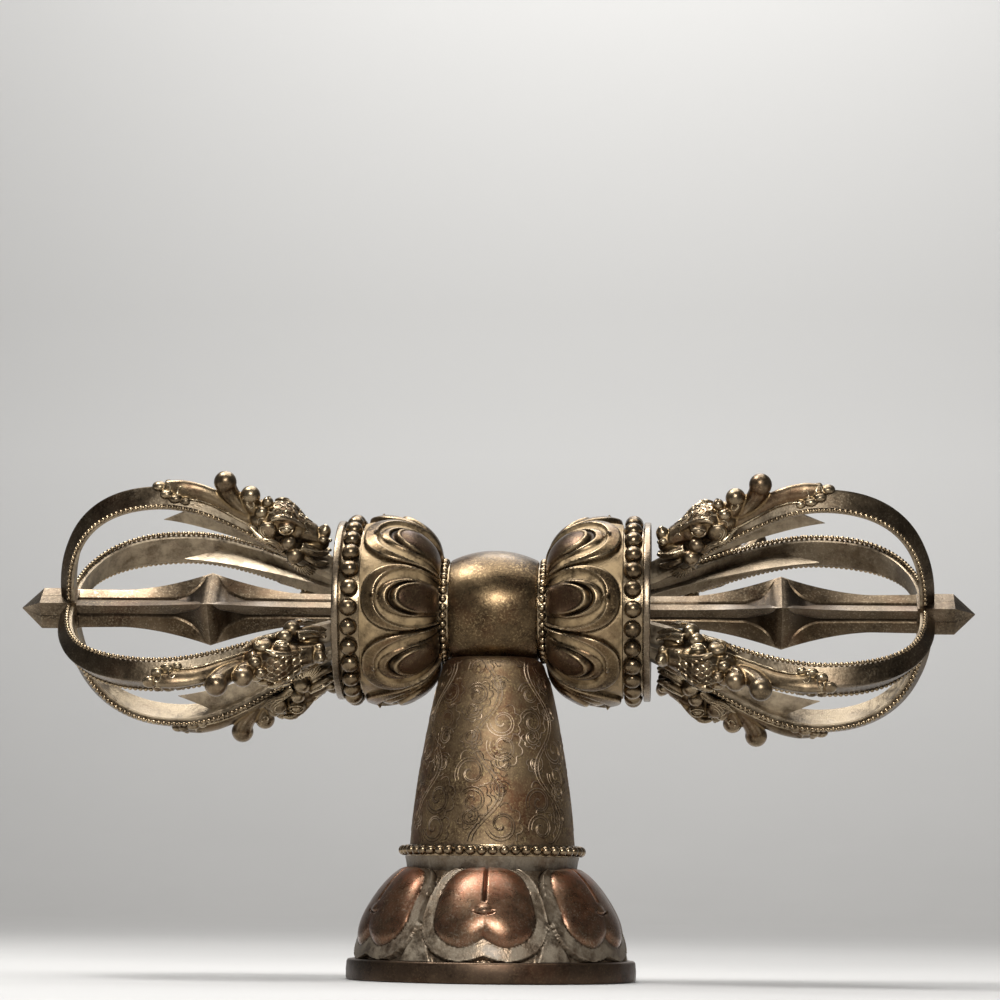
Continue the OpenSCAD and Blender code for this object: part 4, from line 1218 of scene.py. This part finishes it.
# %% Floor and backdrop
def matte(name, colour):
    made = bpy.data.materials.new(name)
    made.use_nodes = True
    tree = made.node_tree
    shader = tree.nodes["Principled BSDF"]
    grain = noise(tree, object_place(tree), 6)
    paper = mixed(tree, spread(tree, grain, 0.3, 0.7), colour, tuple(c * 0.97 for c in colour[:3]) + (1,))
    height = node(tree, "ShaderNodeSeparateXYZ")
    link(tree, object_place(tree), height.inputs["Vector"])
    # Painted light: the paper turns paler with height up to 0.6 m, so the backdrop wall reads brighter than the floor.
    painted_light_by_height = spread(tree, height.outputs["Z"], 0.0, 0.6)
    link(tree, mixed(tree, painted_light_by_height, paper, (0.8, 0.79, 0.77, 1)), shader.inputs["Base Color"])
    shader.inputs["Roughness"].default_value = 0.9
    return made


sweep = bmesh.new()
WALL, BEND, FLOOR_END = 2.9, 0.8, 6.0
profile = [(-FLOOR_END, 0), (WALL - BEND, 0)]
profile += [(WALL - BEND + BEND * math.sin(t), BEND - BEND * math.cos(t)) for t in np.linspace(0.1, math.pi / 2, 12)]
profile.append((WALL, 4))
row = [sweep.verts.new((-FLOOR_END, y, z)) for y, z in profile]
edges = [sweep.edges.new(pair) for pair in zip(row, row[1:])]
grown = bmesh.ops.extrude_edge_only(sweep, edges=edges)["geom"]
far_side = [item for item in grown if isinstance(item, bmesh.types.BMVert)]
bmesh.ops.translate(sweep, vec=(2 * FLOOR_END, 0, 0), verts=far_side)
floor_mesh = bpy.data.meshes.new("floor")
sweep.to_mesh(floor_mesh)
sweep.free()
floor_mesh.shade_smooth()
floor_mesh.materials.append(matte("pale_paper", (0.5, 0.49, 0.475, 1)))
floor = linked("floor", floor_mesh)
print("backdrop at", WALL, "m")


# %% [markdown]
# Area lamps give soft edges to the shadows. Each is aimed at a point by turning its own -Z axis there.

# %% Lamps and world
def lamp(name, place, aim, size, watts):
    data = bpy.data.lights.new(name, "AREA")
    data.size = size
    data.energy = watts
    made = linked(name, data)
    made.location = place
    made.rotation_euler = (Vector(aim) - Vector(place)).to_track_quat("-Z", "Y").to_euler()


MIDDLE = (0, 0, 0.13)
lamp("key", (-0.4, -0.05, 1.1), MIDDLE, 0.3, 8)
lamp("top", (-0.05, 0.12, 0.95), MIDDLE, 0.75, 9)
lamp("front", (0.06, -1.2, 0.6), MIDDLE, 0.3, 11)
lamp("backdrop", (0, 1.8, 2.4), (0, WALL, 0.8), 1.0, 36)

world = bpy.data.worlds.new("studio")
bpy.context.scene.world = world
world.use_nodes = True
even = world.node_tree.nodes["Background"]
even.inputs["Color"].default_value = (0.95, 0.97, 1.0, 1)
even.inputs["Strength"].default_value = 0.12
bpy.context.scene.view_settings.view_transform = "Standard"
print("lamps:", ", ".join(light.name for light in bpy.data.lights))

# %% [markdown]
# ## Camera
# The camera stands low, a little to the right, and looks slightly up, as the verticals and the seen underside of the
# vajra say. A long lens keeps the two ends nearly the same size.

# %% Camera
IMAGE_SIZE, FOCAL_PIXELS, SENSOR = 1000, 3316, 36
CAMERA_YAW, CAMERA_PITCH, CAMERA_ROLL = 3.2, 6.58, 0.66
camera_data = bpy.data.cameras.new("camera")
camera_data.sensor_width = SENSOR
camera_data.lens = FOCAL_PIXELS / IMAGE_SIZE * SENSOR
camera = linked("camera", camera_data)
camera.location = (0.0829, -1.454, 0.0423)
camera.rotation_euler = (turn(CAMERA_YAW) @ turn(90 + CAMERA_PITCH, "X") @ turn(CAMERA_ROLL)).to_euler()
bpy.context.scene.camera = camera
print("lens", round(camera_data.lens, 1), "mm")
